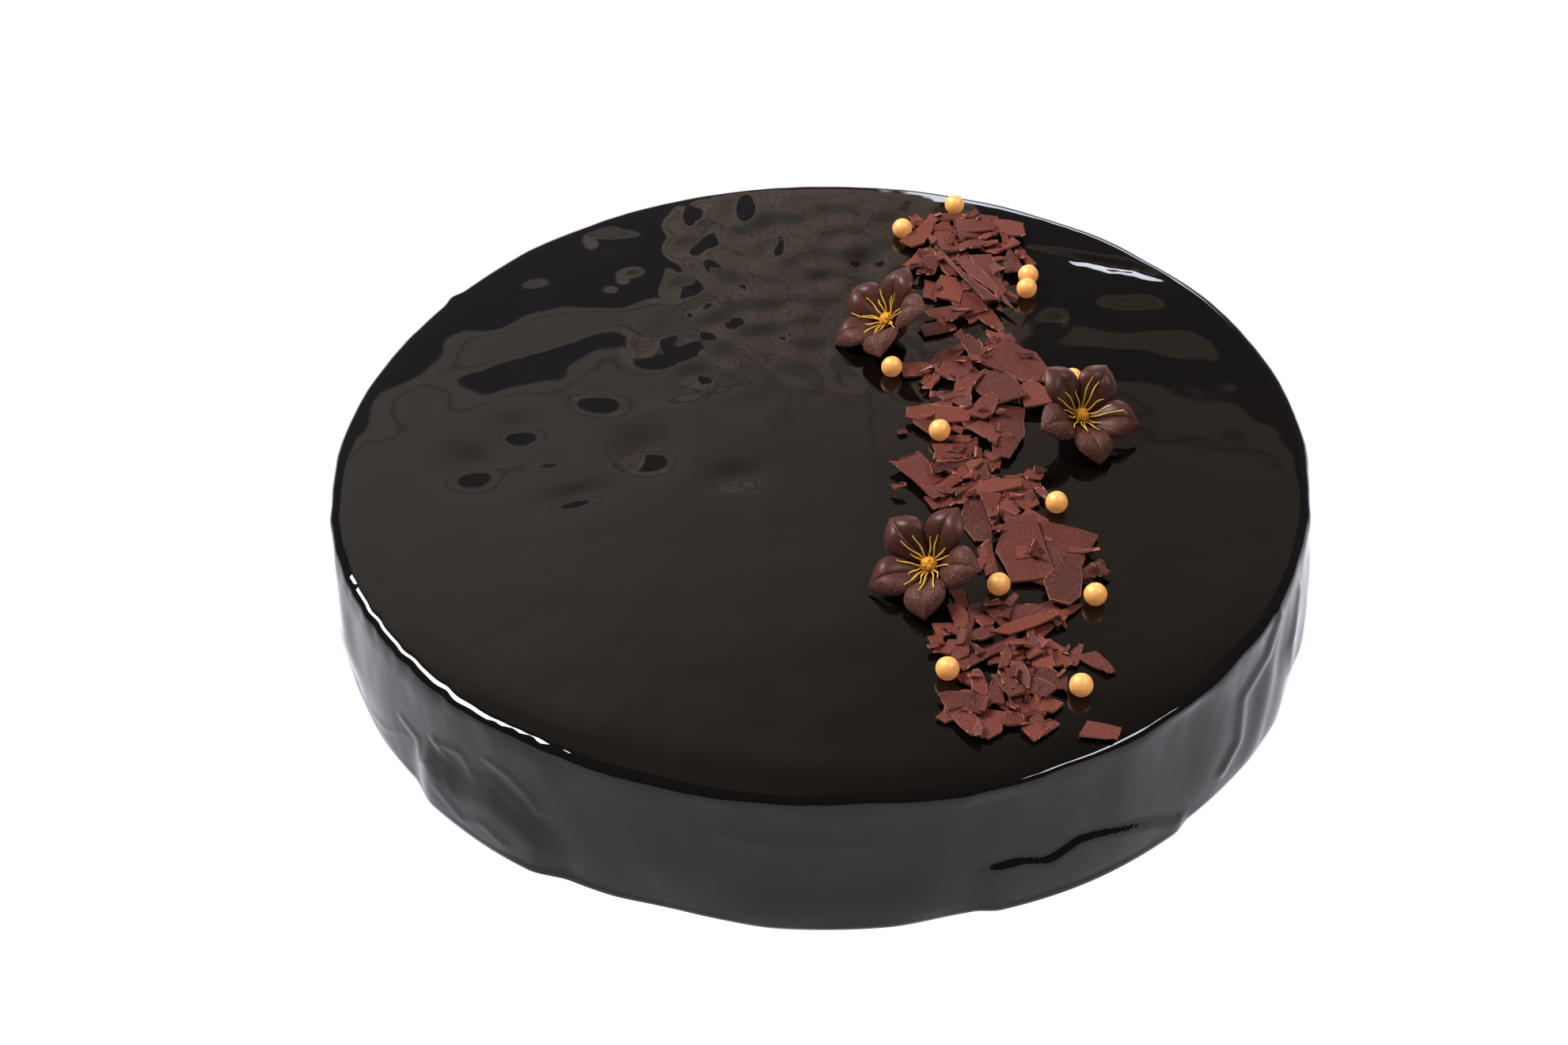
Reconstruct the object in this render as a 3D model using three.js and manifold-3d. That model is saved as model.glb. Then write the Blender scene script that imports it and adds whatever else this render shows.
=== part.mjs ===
// Chocolate mousse cake: a low round cake under a black mirror glaze, dressed along one curved band
// with broken chocolate shards, moulded chocolate flowers with sugar stamens, and gold sugar pearls.
// Millimetres, +Z up. The origin is at the middle of the flat base, and the band lies on the +X side.
import * as THREE from "three";
import { mergeVertices } from "three/addons/utils/BufferGeometryUtils.js";
import Module from "manifold-3d";

const wasm = await Module();
wasm.setup();

// Driving dimensions.
const CAKE_HEIGHT = 40;
const FOOT_RADIUS = 130.6; // middle radius of the side where it meets the board
const RIM_RADIUS = 129.2; // middle radius of the side just under the rim
const RIM_ROUNDING = 2.6;
const FOOT_ROUNDING = 0.9;
const GAP = 0.3; // air between pieces that only rest on each other
const FLOOR = CAKE_HEIGHT + GAP; // the lowest level of anything that lies on the glaze
const PEARL_DIAMETER = 5.8;
const PETALS = 5;
const PETAL_REACH = 15.9; // from the flower's axis to a petal's tip
const CREST_RISE = 2.2; // height of a petal's crest over its tip
const THROAT_DEPTH = 5.2; // depth of the flower's throat below the tips
const FLOWER_DEPTH = 9; // depth of the flower's foot below the tips
const FLOWER_FOOT_RADIUS = 3.4;
const SHARD_THICKNESS = 1.15;
const LAYER_STEP = 1; // height of one layer of shards over the next
const BROAD_SHARD = 6; // width from which a shard has a fifth corner

const DEGREE = Math.PI / 180;

const polar = (radius, angle, z) => new THREE.Vector3(radius * Math.cos(angle), radius * Math.sin(angle), z);

// A repeatable stream of numbers from 0 to 1, different for each seed.
function randomStream(seed) {
  let state = 1000 + 7919 * seed;
  const next = () => (state = (state * 16807) % 2147483647) / 2147483647;
  next();
  return next;
}

// A closed surface from a lower to an upper pole through equal rings of points, each ring
// counter-clockwise seen from above.
function loft(lowerPole, rings, upperPole) {
  const around = rings[0].length;
  const points = [lowerPole, ...rings.flat(), upperPole];
  const at = (ring, i) => 1 + ring * around + (i % around);
  const faces = [];
  for (let i = 0; i < around; i++) {
    faces.push(0, at(0, i + 1), at(0, i));
    for (let ring = 0; ring + 1 < rings.length; ring++) {
      faces.push(at(ring, i), at(ring, i + 1), at(ring + 1, i + 1));
      faces.push(at(ring, i), at(ring + 1, i + 1), at(ring + 1, i));
    }
    faces.push(points.length - 1, at(rings.length - 1, i), at(rings.length - 1, i + 1));
  }
  return new THREE.BufferGeometry().setFromPoints(points).setIndex(faces);
}

function toSolid(geometry) {
  const bare = geometry.clone().deleteAttribute("normal").deleteAttribute("uv");
  const merged = mergeVertices(bare, 1e-4);
  return new wasm.Manifold(
    new wasm.Mesh({
      numProp: 3,
      vertProperties: merged.attributes.position.array,
      triVerts: new Uint32Array(merged.index.array),
    }),
  );
}

function toGeometry(solid) {
  const mesh = solid.getMesh();
  const geometry = new THREE.BufferGeometry();
  geometry.setAttribute("position", new THREE.BufferAttribute(mesh.vertProperties, mesh.numProp));
  geometry.setIndex(new THREE.BufferAttribute(mesh.triVerts, 1));
  const flat = geometry.toNonIndexed();
  flat.computeVertexNormals();
  return flat;
}

// Puts a piece down: lifts or lowers it until its lowest point is on the given level.
function settle(geometry, level) {
  geometry.computeBoundingBox();
  return geometry.translate(0, 0, level - geometry.boundingBox.min.z);
}

// ---- The cake's body ----

// Slow waves of the poured outline: [height in mm, waves in a turn, direction of a crest in degrees].
const FOOT_WAVES = [
  [0.4, 1, -70],
  [1.1, 2, 6],
];
const RIM_WAVES = [
  [1.4, 1, 72],
  [1.6, 2, 39],
  [0.6, 3, -47],
  [0.7, 4, 29],
];
// Soft upright drapes of the glaze: [direction at the foot, half width, depth in mm, lean from foot to rim],
// with the angles in degrees.
const DRAPES = [
  [-55, 4, 0.7, 12],
  [-43, 3, 1.1, 10],
  [-34, 3, 1.3, 8],
  [-24, 4, 1.0, 7],
  [-12, 4, 0.8, 5],
  [8, 5, 0.7, -4],
  [40, 6, 0.8, 6],
  [95, 6, 0.7, -8],
  [150, 4, 1.2, 4],
  [205, 5, 0.8, -6],
  [232, 4, 0.6, 8],
];

function waves(rows, angle) {
  const wave = ([height, count, crest]) => height * Math.cos(count * (angle - crest) * DEGREE);
  return rows.reduce((sum, row) => sum + wave(row), 0);
}

// Every drape is deepest half way up and runs out at the foot and at the rim.
function drapes(angle, rise) {
  const fullness = Math.sqrt(Math.sin(Math.PI * rise));
  return DRAPES.reduce((sum, [foot, halfWidth, depth, lean]) => {
    const away = THREE.MathUtils.euclideanModulo(angle - foot - lean * rise + 180, 360) - 180;
    return sum + depth * Math.exp(-((away / halfWidth) ** 2)) * fullness;
  }, 0);
}

// Radius of the glazed side, from the foot (rise 0) to the rim (rise 1).
function sideRadius(angle, rise) {
  const foot = FOOT_RADIUS + waves(FOOT_WAVES, angle);
  const rim = RIM_RADIUS + waves(RIM_WAVES, angle);
  const blend = THREE.MathUtils.smoothstep(rise, 0, 1);
  return THREE.MathUtils.lerp(foot, rim, blend) + drapes(angle, rise);
}

function makeCake() {
  const aroundCount = 108;
  const sideLevels = [0, 0.1, 0.3, 0.5, 0.7, 0.88, 1];
  const rimSteps = [30, 60, 90];
  const sideTop = CAKE_HEIGHT - RIM_ROUNDING;
  const profile = sideLevels.map((rise) => ({
    rise,
    inset: rise === 0 ? FOOT_ROUNDING : 0,
    z: sideTop * rise,
  }));
  for (const step of rimSteps) {
    const inset = RIM_ROUNDING * (1 - Math.cos(step * DEGREE));
    const z = sideTop + RIM_ROUNDING * Math.sin(step * DEGREE);
    profile.push({ rise: 1, inset, z });
  }
  const rings = profile.map(({ rise, inset, z }) => {
    return Array.from({ length: aroundCount }, (_, i) => {
      const angle = (360 * i) / aroundCount;
      return polar(sideRadius(angle, rise) - inset, angle * DEGREE, z);
    });
  });
  return loft(new THREE.Vector3(0, 0, 0), rings, new THREE.Vector3(0, 0, CAKE_HEIGHT));
}

// ---- Flowers ----

// Each flower lies on its foot and its lower petals: [x, y, tilt, direction that rises, turn of the petals].
const FLOWERS = [
  [16.6, 49.7, 36, 20, 28],
  [69.9, 6, 33, 128, 14],
  [24.5, -54, 36.5, 45, 2],
];

// Share of the petal's reach at an angle from its midrib, given as 0 at the midrib and 1 between two petals.
const petalOutline = (aside) => 1 - 0.41 * aside ** 1.5 - 0.17 * aside ** 6;

// Height of a petal along its midrib, over the plane of the tips.
function midribHeight(reach) {
  const crestAt = 0.7;
  if (reach > crestAt) return CREST_RISE * (1 - ((reach - crestAt) / (1 - crestAt)) ** 2);
  return -THROAT_DEPTH + (THROAT_DEPTH + CREST_RISE) * Math.sin((reach / crestAt) * (Math.PI / 2)) ** 2;
}

// The moulded flower, opening along +Z with the petals' tips at z = 0. Grown by some millimetres it is the
// room that the flower needs.
function makeFlowerBody(grow) {
  const perPetal = 8; // points round one petal, an even number
  const aroundCount = PETALS * perPetal;
  const sideDrop = 2.4; // how far a petal's long edges hang below its crest
  const wall = 2.2;
  const creaseDepth = 0.5;
  const calyxHeight = 3.4; // of the stout part between the foot and the petals
  const ring = (share, height) =>
    Array.from({ length: aroundCount }, (_, i) => {
      const aside = Math.abs(((i + perPetal / 2) % perPetal) - perPetal / 2) / (perPetal / 2);
      const reach = share * petalOutline(aside);
      const radius = reach * PETAL_REACH + share * grow;
      return polar(radius, (2 * Math.PI * i) / aroundCount, height(reach, aside, share));
    });
  const crown = (reach, aside, share) => {
    const crease = aside === 0 && share < 1 ? creaseDepth : 0;
    return midribHeight(reach) - sideDrop * aside ** 0.6 * share ** 5 - crease + grow;
  };
  const edge = (reach, aside, share) => crown(reach, aside, share) - grow;
  const under = (reach, aside, share) => crown(reach, aside, share) - wall - 2 * grow;
  const calyx = (reach, aside, share) =>
    Math.min(under(reach, aside, share), calyxHeight - FLOWER_DEPTH - grow);
  const foot = Array.from({ length: aroundCount }, (_, i) =>
    polar(FLOWER_FOOT_RADIUS + grow, (2 * Math.PI * i) / aroundCount, -FLOWER_DEPTH - grow),
  );
  const rings = [foot, ring(0.5, calyx), ring(0.82, under), ring(1, edge)];
  rings.push(ring(0.93, crown), ring(0.72, crown), ring(0.48, crown), ring(0.25, crown));
  const footPole = new THREE.Vector3(0, 0, -FLOWER_DEPTH - grow);
  return loft(footPole, rings, new THREE.Vector3(0, 0, grow - THROAT_DEPTH));
}

// The sugar head in the throat with its thin stamens, as a list of solids that reach into each other.
function makeStamens(seed) {
  const random = randomStream(seed);
  const stamenCount = 14;
  const headRadius = 2.2;
  const headLift = 1.4; // of the head's middle over the throat
  const stamenRadius = 0.42;
  const head = new THREE.IcosahedronGeometry(headRadius, 1);
  head.translate(0, 0, headLift - THROAT_DEPTH);
  const solids = [toSolid(head)];
  for (let i = 0; i < stamenCount; i++) {
    const length = 5 + 3 * random();
    const direction = ((i + 0.6 * (random() - 0.5)) / stamenCount) * 360;
    const rise = 28 + 10 * random();
    const stamen = new THREE.ConeGeometry(stamenRadius, length, 4);
    stamen.rotateZ(-90 * DEGREE).translate(length / 2 + headRadius / 2, 0, 0);
    stamen.rotateY(-rise * DEGREE).rotateZ(direction * DEGREE);
    stamen.translate(0, 0, headLift - THROAT_DEPTH);
    solids.push(toSolid(stamen));
  }
  return solids;
}

// Turns a flower out of the tips' plane and stands it on the glaze.
function flowerPose([x, y, tilt, rising, turn]) {
  const pose = new THREE.Matrix4().makeRotationZ(rising * DEGREE);
  pose.multiply(new THREE.Matrix4().makeRotationY(-tilt * DEGREE));
  pose.multiply(new THREE.Matrix4().makeRotationZ(turn * DEGREE));
  return pose.setPosition(x, y, 0);
}

function makeFlower(row, index) {
  const joined = makeStamens(index).reduce((sum, piece) => sum.add(piece), toSolid(makeFlowerBody(0)));
  return settle(toGeometry(joined).applyMatrix4(flowerPose(row)), FLOOR);
}

// ---- Gold pearls, [x, y] ----

const PEARLS = [
  [40.6, 113.6],
  [24.6, 101.1],
  [60.0, 77.5],
  [59.1, 70.9],
  [19.4, 33.9],
  [68.6, 28.4],
  [31.3, 5.9],
  [60.1, -23.9],
  [43.2, -55.4],
  [66.9, -59.2],
  [29.0, -85.7],
  [60.6, -91.4],
];

function makePearl([x, y], grow) {
  const pearl = new THREE.SphereGeometry(PEARL_DIAMETER / 2 + grow, 10, 8);
  return pearl.rotateX(90 * DEGREE).translate(x, y, FLOOR + PEARL_DIAMETER / 2);
}

// ---- Shards ----

// Shards of each heap and those that lie apart: [x, y, layer, long, wide, turn, taper], where the taper
// narrows the end that points in the direction of the turn, from 0 for none to 1 for a point.
const HEAPS = {
  shards_back: [
    [56, 102.7, 1, 10.5, 8.5, -10, 0.1],
    [46, 102.5, 2, 12, 6, -8, 0.2],
    [45, 99.5, 1, 11, 4.5, -5, 0.2],
    [30.6, 99.3, 1, 13, 6.5, 50, 0.1],
    [33, 106, 1, 6, 4.5, 60, 0.3],
    [39.5, 108.5, 1, 9, 4.5, 0, 0.2],
    [47, 107.3, 0, 8, 4.5, -20, 0.4],
    [29, 106.5, 0, 5.5, 4.2, 30, 0.3],
    [47, 94.5, 1, 8.5, 5.5, 10, 0.1],
    [54, 93, 1, 10, 6.5, 30, 0.3],
    [56, 86, 1, 14, 6, 97, 0.9],
    [60, 88.5, 0, 9.5, 3.5, -62, 0.4],
    [48.3, 80, 1, 19, 8.5, -86, 0.1],
    [41.3, 76.3, 3, 32, 5.5, 118, 0.85],
    [48, 72, 2, 30, 4, -59, 0.8],
    [37, 71, 1, 11.5, 9, 75, 0.2],
    [31.5, 72, 0, 8.5, 5, 80, 0.2],
    [38.5, 61, 1, 17, 5.5, 18, 0.2],
    [47.8, 58.5, 0, 13.5, 5, -62, 0.3],
    [33, 54.3, 0, 9.5, 5, 15, 0.3],
    [54, 69.5, 1, 6, 2.2, -30, 0.1],
    [39, 91, 2, 8, 3.5, 20, 0.2],
    [31, 82, 2, 7, 5.5, 80, 0.1],
    [28.5, 87, 1, 9.5, 4, 60, 0.3],
    [33, 88, 2, 9.5, 3.5, 50, 0.5],
    [37.5, 100, 0, 10, 8, 85, 0],
    [36.5, 84, 1, 12, 4.5, -75, 0.3],
    [41, 87, 0, 10, 8, -70, 0],
    [44.5, 73.5, 0, 9.5, 5.5, -50, 0.2],
  ],
  shards_middle: [
    [56, 36, 1, 21, 15, -35, 0.15],
    [57.8, 22, 2, 12.5, 7.5, -85, 0.1],
    [49.5, 6.5, 1, 22, 9, -92, 0.15],
    [47.5, 25.5, 2, 16, 12, -62, 0.15],
    [39, 26, 2, 14, 6, 62, 0.2],
    [44.5, 15.5, 3, 12, 6, 70, 0.1],
    [38.5, 17.5, 3, 7, 6.5, -70, 0.8],
    [31.5, 13.5, 2, 17.5, 5.5, -8, 0.1],
    [27.5, 10, 1, 11, 6, -40, 0.4],
    [44.5, 5, 2, 10.5, 7.5, -50, 0.3],
    [42.5, 10.5, 1, 9.5, 2.4, 25, 0.1],
    [27.3, 35.6, 0, 10, 6, 15, 0.1],
    [30.6, 29.5, 1, 10, 2.2, 65, 0.3],
    [36.5, 35.5, 1, 11.5, 6.5, 65, 0.2],
    [36.3, 43, 0, 11, 7, 55, 0.3],
    [42.5, 44, 1, 11, 5.5, -72, 0.2],
    [43, 37.5, 2, 5.5, 4.5, 20, 0.2],
    [49.5, 49, 0, 9.5, 3.5, 12, 0.1],
    [50, 45.5, 1, 9, 3.2, 20, 0.2],
    [46.5, 41, 0, 9, 5, -80, 0.1],
    [34.5, 20.5, 0, 9, 5, 50, 0.2],
    [46, 14, 0, 10, 8, -80, 0],
    [38, 11, 0, 9, 6, 0, 0],
  ],
  shards_inner: [
    [34.5, 0, 0, 9.5, 5.5, 5, 0.1],
    [39, -0.5, 1, 7, 5, 30, 0.3],
    [36.5, 4, 0, 6.5, 3.4, 10, 0.2],
    [34, -4, 1, 9.5, 2.6, -5, 0.2],
    [33.8, -8.5, 2, 12.5, 2.8, 22, 0.3],
    [26.6, -13, 1, 17.5, 9.5, -58, 0.2],
    [32, -16, 1, 8.5, 4.8, 45, 0.2],
    [37.5, -10, 1, 9.5, 5, 68, 0.3],
    [41, -10, 1, 9, 4.4, -82, 0.2],
    [44.3, -5.5, 0, 5.5, 4.2, -20, 0.2],
    [37.5, -16.5, 1, 9.5, 2.4, 40, 0.3],
    [44, -16.5, 1, 13.5, 6, 12, 0.2],
    [52, -14.5, 0, 9, 4.8, 0, 0.3],
    [55, -12, 1, 4.5, 3.8, -30, 0.2],
    [54, -20.5, 0, 7, 3.8, -68, 0.2],
    [31, -21, 0, 7.5, 4.8, 20, 0.2],
    [38.5, -28, 0, 18.5, 7, -86, 0.05],
    [43.3, -25.5, 1, 12.5, 5.5, -88, 0.8],
    [47, -24.5, 0, 12.5, 5, -100, 0.2],
    [50, -41.3, 1, 22.5, 14.5, -78, 0.2],
    [59.3, -43, 0, 23, 15, -112, 0.1],
    [59.5, -53.5, 2, 17.5, 14, 72, 0.7],
    [54.5, -28, 0, 7, 3.8, -30, 0.4],
    [41, -43.5, 0, 12, 4.4, -80, 0.2],
    [53, -44.5, 2, 5.5, 1.4, -38, 0.2],
    [67.5, -47, 0, 7, 1.8, 42, 0.2],
  ],
  shards_front: [
    [33.8, -59, 0, 7, 3.8, -80, 0.1],
    [37.5, -63, 0, 6, 4.8, 20, 0.1],
    [33, -66.5, 1, 8, 4.6, -82, 0.3],
    [42.5, -67, 1, 8, 3, -58, 0.3],
    [49.2, -66, 1, 14.5, 12, 0, 0.8],
    [48.5, -70.5, 2, 18, 3.2, 27, 0.3],
    [57, -64.5, 0, 9.5, 6, -60, 0.8],
    [54, -68.5, 0, 11, 6, 75, 0.2],
    [29.5, -70, 0, 6.5, 4.8, 10, 0.2],
    [27, -75.5, 0, 6, 4, -80, 0.6],
    [37.5, -71.5, 0, 7, 4.4, 20, 0.1],
    [39, -79, 1, 18, 4.8, 30, 0.3],
    [33.2, -77.5, 1, 11, 5.5, 82, 0.6],
    [43.5, -81, 2, 9, 4.2, 85, 0.8],
    [47.5, -78, 0, 10, 8.5, -20, 0.2],
    [52.3, -81.5, 1, 8.5, 6, -84, 0.1],
    [56, -78.5, 0, 9.5, 5.5, -75, 0.1],
    [58, -79, 0, 4.6, 3.4, 0, 0.1],
    [50.5, -76, 2, 6, 2.6, -60, 0.2],
    [54, -87.5, 1, 10.5, 5.5, -28, 0.2],
    [46.8, -87, 2, 10, 4.2, -74, 0.2],
    [43.5, -90.5, 2, 9.5, 5.5, -72, 0.4],
    [50, -91, 1, 9.5, 5.5, -38, 0.2],
    [36.3, -91, 2, 7.5, 3.8, 82, 0.1],
    [34.5, -86.5, 0, 6, 4, 30, 0.2],
    [40, -93, 1, 10, 5, 85, 0.4],
    [32.5, -95, 1, 10, 6, 15, 0.4],
    [29.5, -99, 0, 7, 4.8, 50, 0.4],
    [36, -97, 1, 10, 6.5, 60, 0.2],
    [33.2, -103, 1, 9, 5.5, -62, 0.5],
    [38.3, -102.5, 0, 10.5, 8, 70, 0.1],
    [43.5, -97.5, 0, 9.5, 3.6, -52, 0.2],
    [46.5, -96.5, 0, 8.5, 5, -75, 0.1],
    [51, -95.5, 0, 8, 5.5, -30, 0.1],
    [49.5, -101, 0, 6.5, 4.8, -80, 0.4],
  ],
  shard_loose_side: [[65.6, -81.6, 0, 9, 5.5, -50, 0.6]],
  shard_loose_front: [[64.2, -105, 0, 8.2, 5.3, -15, 0.2]],
  shard_crumb: [[21.6, 7.6, 0, 2.6, 1.8, 20, 0.2]],
};

// The broken outline of a shard along X: four corners, and a fifth on a broad one, each a little off.
function shardOutline(long, wide, taper, random) {
  const nearHalf = wide / 2;
  const farHalf = (wide / 2) * (1 - taper);
  const corners = [
    [-long / 2, -nearHalf],
    [long / 2, -farHalf],
    [long / 2, farHalf],
    [-long / 2, nearHalf],
  ];
  if (wide >= BROAD_SHARD) corners.splice(3, 0, [long * 0.1, nearHalf * 1.15]);
  const stray = 0.24 * Math.min(wide, 8);
  return corners.map(([x, y]) => {
    const offX = stray * (random() - 0.5);
    const offY = 0.7 * stray * (random() - 0.5);
    return new THREE.Vector2(x + offX, y + offY);
  });
}

// A flat flake that leans a little more the higher it lies, with no corner below the glaze.
function makeShard([x, y, layer, long, wide, turn, taper], seed) {
  const random = randomStream(seed);
  const outline = shardOutline(long, wide, taper, random);
  const lift = 0.5 + 0.6 * layer; // most that one end lies over the middle
  const slope = (span) => Math.atan(lift / span) * 2 * (random() - 0.5);
  const pitch = slope(long);
  const roll = slope(wide);
  const flat = new THREE.Shape(outline);
  const shard = new THREE.ExtrudeGeometry(flat, { depth: SHARD_THICKNESS, bevelEnabled: false });
  shard.translate(0, 0, -SHARD_THICKNESS / 2);
  shard.rotateX(roll).rotateY(-pitch).rotateZ(turn * DEGREE);
  shard.translate(x, y, FLOOR + SHARD_THICKNESS / 2 + layer * LAYER_STEP);
  shard.computeBoundingBox();
  return shard.boundingBox.min.z < FLOOR ? settle(shard, FLOOR) : shard;
}

// One heap: its shards fused where they lie on each other, clear of the flowers and pearls.
function makeHeap(rows, firstSeed, keepOuts) {
  const shards = rows.map((row, i) => toSolid(makeShard(row, firstSeed + i)));
  const fused = shards.reduce((sum, shard) => sum.add(shard));
  return keepOuts.reduce((left, keepOut) => left.subtract(keepOut), fused);
}

// ---- Assembly ----

const finishes = {
  glaze: new THREE.MeshStandardMaterial({ color: "#17110f", roughness: 0.05, metalness: 0 }),
  shard: new THREE.MeshStandardMaterial({ color: "#6e433c", roughness: 0.75, metalness: 0 }),
  flower: new THREE.MeshStandardMaterial({ color: "#432c28", roughness: 0.5, metalness: 0 }),
  pearl: new THREE.MeshStandardMaterial({ color: "#e3a750", roughness: 0.3, metalness: 0.3 }),
};

const cake = new THREE.Group();

function addPiece(name, geometry, finish) {
  const piece = new THREE.Mesh(geometry, finish);
  piece.name = name;
  cake.add(piece);
}

addPiece("cake", makeCake(), finishes.glaze);

FLOWERS.forEach((row, i) => addPiece(`flower_${i + 1}`, makeFlower(row, i), finishes.flower));

PEARLS.forEach((row, i) => addPiece(`pearl_${i + 1}`, makePearl(row, 0), finishes.pearl));

// The room that each flower and pearl takes, which the shards leave free.
const flowerRoom = (row) => toSolid(settle(makeFlowerBody(GAP).applyMatrix4(flowerPose(row)), CAKE_HEIGHT));
const pearlRoom = (row) => toSolid(makePearl(row, GAP));
const rooms = [...FLOWERS.map(flowerRoom), ...PEARLS.map(pearlRoom)];

// A heap that falls into separate bodies becomes one piece for each, the largest first.
let nextSeed = 1;
for (const [name, rows] of Object.entries(HEAPS)) {
  const bodies = makeHeap(rows, nextSeed, rooms).decompose();
  bodies.sort((a, b) => b.volume() - a.volume());
  bodies.forEach((body, i) => addPiece(i ? `${name}_${i + 1}` : name, toGeometry(body), finishes.shard));
  nextSeed += rows.length;
}

export default cake;
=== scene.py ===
# %% [markdown]
# # A chocolate mousse cake under a black mirror glaze
#
# The real cake is frozen in a ring, lifted out and covered in one pour with a warm cocoa glaze, which
# sets to a black mirror. A curved band of broken chocolate, three moulded flowers and twelve gold
# pearls lie on it.
#
# A mirror has hardly any colour of its own. What the eye sees on it is the studio, bent by a relief of
# a few hundredths of a millimetre, so the light and the relief get as much care here as the materials.

import math

import bpy
import numpy as np
from mathutils import Matrix, Quaternion, Vector


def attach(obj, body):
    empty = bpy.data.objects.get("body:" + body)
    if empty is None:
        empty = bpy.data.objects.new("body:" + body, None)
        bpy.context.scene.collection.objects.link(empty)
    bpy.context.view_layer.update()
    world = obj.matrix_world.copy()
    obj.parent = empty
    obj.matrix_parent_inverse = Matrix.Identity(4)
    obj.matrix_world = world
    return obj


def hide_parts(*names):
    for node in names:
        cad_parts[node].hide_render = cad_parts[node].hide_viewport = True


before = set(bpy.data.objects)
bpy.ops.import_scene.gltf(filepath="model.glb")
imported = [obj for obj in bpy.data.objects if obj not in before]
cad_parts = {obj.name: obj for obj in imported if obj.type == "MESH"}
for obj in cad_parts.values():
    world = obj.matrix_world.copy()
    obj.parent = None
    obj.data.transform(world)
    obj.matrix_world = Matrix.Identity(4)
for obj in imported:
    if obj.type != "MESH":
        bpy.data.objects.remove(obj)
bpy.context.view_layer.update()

# %% [markdown]
# ## Sizes
#
# Blender works in metres and a cook in millimetres. All sizes below are in millimetres, and MM turns
# them into Blender's unit where a mesh is made. They are the sizes of the solids, so that every piece
# lies on its solid. Only the rim is rounder than the solid's by half a millimetre, as the poured glaze
# is.

# %% Sizes of the cake
MM = 0.001
DEGREE = math.pi / 180
CAKE_HEIGHT = 40
FOOT_RADIUS = 130.6
RIM_RADIUS = 129.2
RIM_ROUNDING = 3.1
FOOT_ROUNDING = 0.9
GAP = 0.3
FLOOR = CAKE_HEIGHT + GAP  # level of what lies on the solid glaze
AIR = 0.05  # left between the glaze and a flake or a flower
SIDE_TOP = CAKE_HEIGHT - RIM_ROUNDING  # where the side ends and the rounding of the rim starts
INNER_EDGE = RIM_RADIUS - RIM_ROUNDING  # and where the rounding ends on the top
print("the cake: %.0f mm high and %.1f mm across at the foot" % (CAKE_HEIGHT, 2 * FOOT_RADIUS))

# %% [markdown]
# ## Tools of the trade
#
# Blender's operators act on whatever is selected, so each piece starts with nothing selected. The first
# helpers start a piece from a primitive, and read and write its vertices in millimetres.


# %% Start and shape a piece
def start(name, add, **settings):
    """Adds a primitive by its operator, with nothing else selected, and names it."""
    bpy.ops.object.select_all(action="DESELECT")
    add(**settings)
    piece = bpy.context.object
    piece.name = piece.data.name = name
    return piece


def places(piece):
    """The piece's vertices in millimetres, as an array of rows."""
    flat = np.empty(len(piece.data.vertices) * 3)
    piece.data.vertices.foreach_get("co", flat)
    return flat.reshape(-1, 3) / MM


def move_to(piece, rows):
    """Puts the piece's vertices at these places, in millimetres."""
    piece.data.vertices.foreach_set("co", (np.asarray(rows) * MM).ravel())
    piece.data.update()


def note(piece, name, values):
    """Keeps a number from 0 to 1 on each vertex, for the material to read."""
    attribute = piece.data.attributes.new(name, "FLOAT", "POINT")
    attribute.data.foreach_set("value", np.asarray(values, dtype=np.float32))


# %% [markdown]
# The next helpers finish a piece: they apply its modifiers, close its seams, turn its faces outwards,
# shade it and join it to others, each by Blender's own operator.


# %% Finish a piece
DOUBLES = 0.001  # vertices that lie closer than this are one


def alone(piece):
    """Selects this piece and nothing else."""
    bpy.ops.object.select_all(action="DESELECT")
    piece.select_set(True)
    bpy.context.view_layer.objects.active = piece


def settle_transform(piece):
    """Moves the object's place, turn and size into its mesh."""
    alone(piece)
    bpy.ops.object.transform_apply(location=True, rotation=True, scale=True)


def modify(piece, kind, **settings):
    """Adds a modifier with its settings and applies it."""
    bpy.context.view_layer.objects.active = piece
    modifier = piece.modifiers.new(kind.title(), kind)
    for name, value in settings.items():
        setattr(modifier, name, value)
    bpy.ops.object.modifier_apply(modifier=modifier.name)


def outward(piece):
    """Merges doubles and turns all faces outwards."""
    bpy.context.view_layer.objects.active = piece
    bpy.ops.object.mode_set(mode="EDIT")
    bpy.ops.mesh.select_all(action="SELECT")
    bpy.ops.mesh.remove_doubles(threshold=DOUBLES * MM)
    bpy.ops.mesh.normals_make_consistent(inside=False)
    bpy.ops.object.mode_set(mode="OBJECT")


def smooth(piece, angle=180):
    """Shades the piece smooth, but for edges sharper than the angle."""
    alone(piece)
    bpy.ops.object.shade_smooth_by_angle(angle=angle * DEGREE)


def join(pieces, name):
    """Makes several pieces one."""
    alone(pieces[0])
    for piece in pieces[1:]:
        piece.select_set(True)
    if len(pieces) > 1:
        bpy.ops.object.join()
    pieces[0].name = pieces[0].data.name = name
    return pieces[0]


# %% [markdown]
# Chance and smooth steps shape much of what follows. The draws come from a small generator of its own,
# so that every run gives the same cake and every flake lies on its solid, which is drawn by the same
# numbers.


# %% Chance and steps
def random_stream(seed):
    """A function that draws numbers from 0 to 1, in the same order on every run."""
    state = 1000 + 7919 * seed

    def draw():
        nonlocal state
        state = state * 16807 % 2147483647
        return state / 2147483647

    draw()
    return draw


def ramp(low, high, x):
    """0 below low, 1 above high, and an S-shaped step between them."""
    t = np.clip((x - low) / (high - low), 0, 1)
    return t * t * (3 - 2 * t)


def bell(angle, middle, half_width):
    """1 in a direction, and softly less away from it."""
    return np.exp(-(((angle - middle) / half_width) ** 2))


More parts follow.
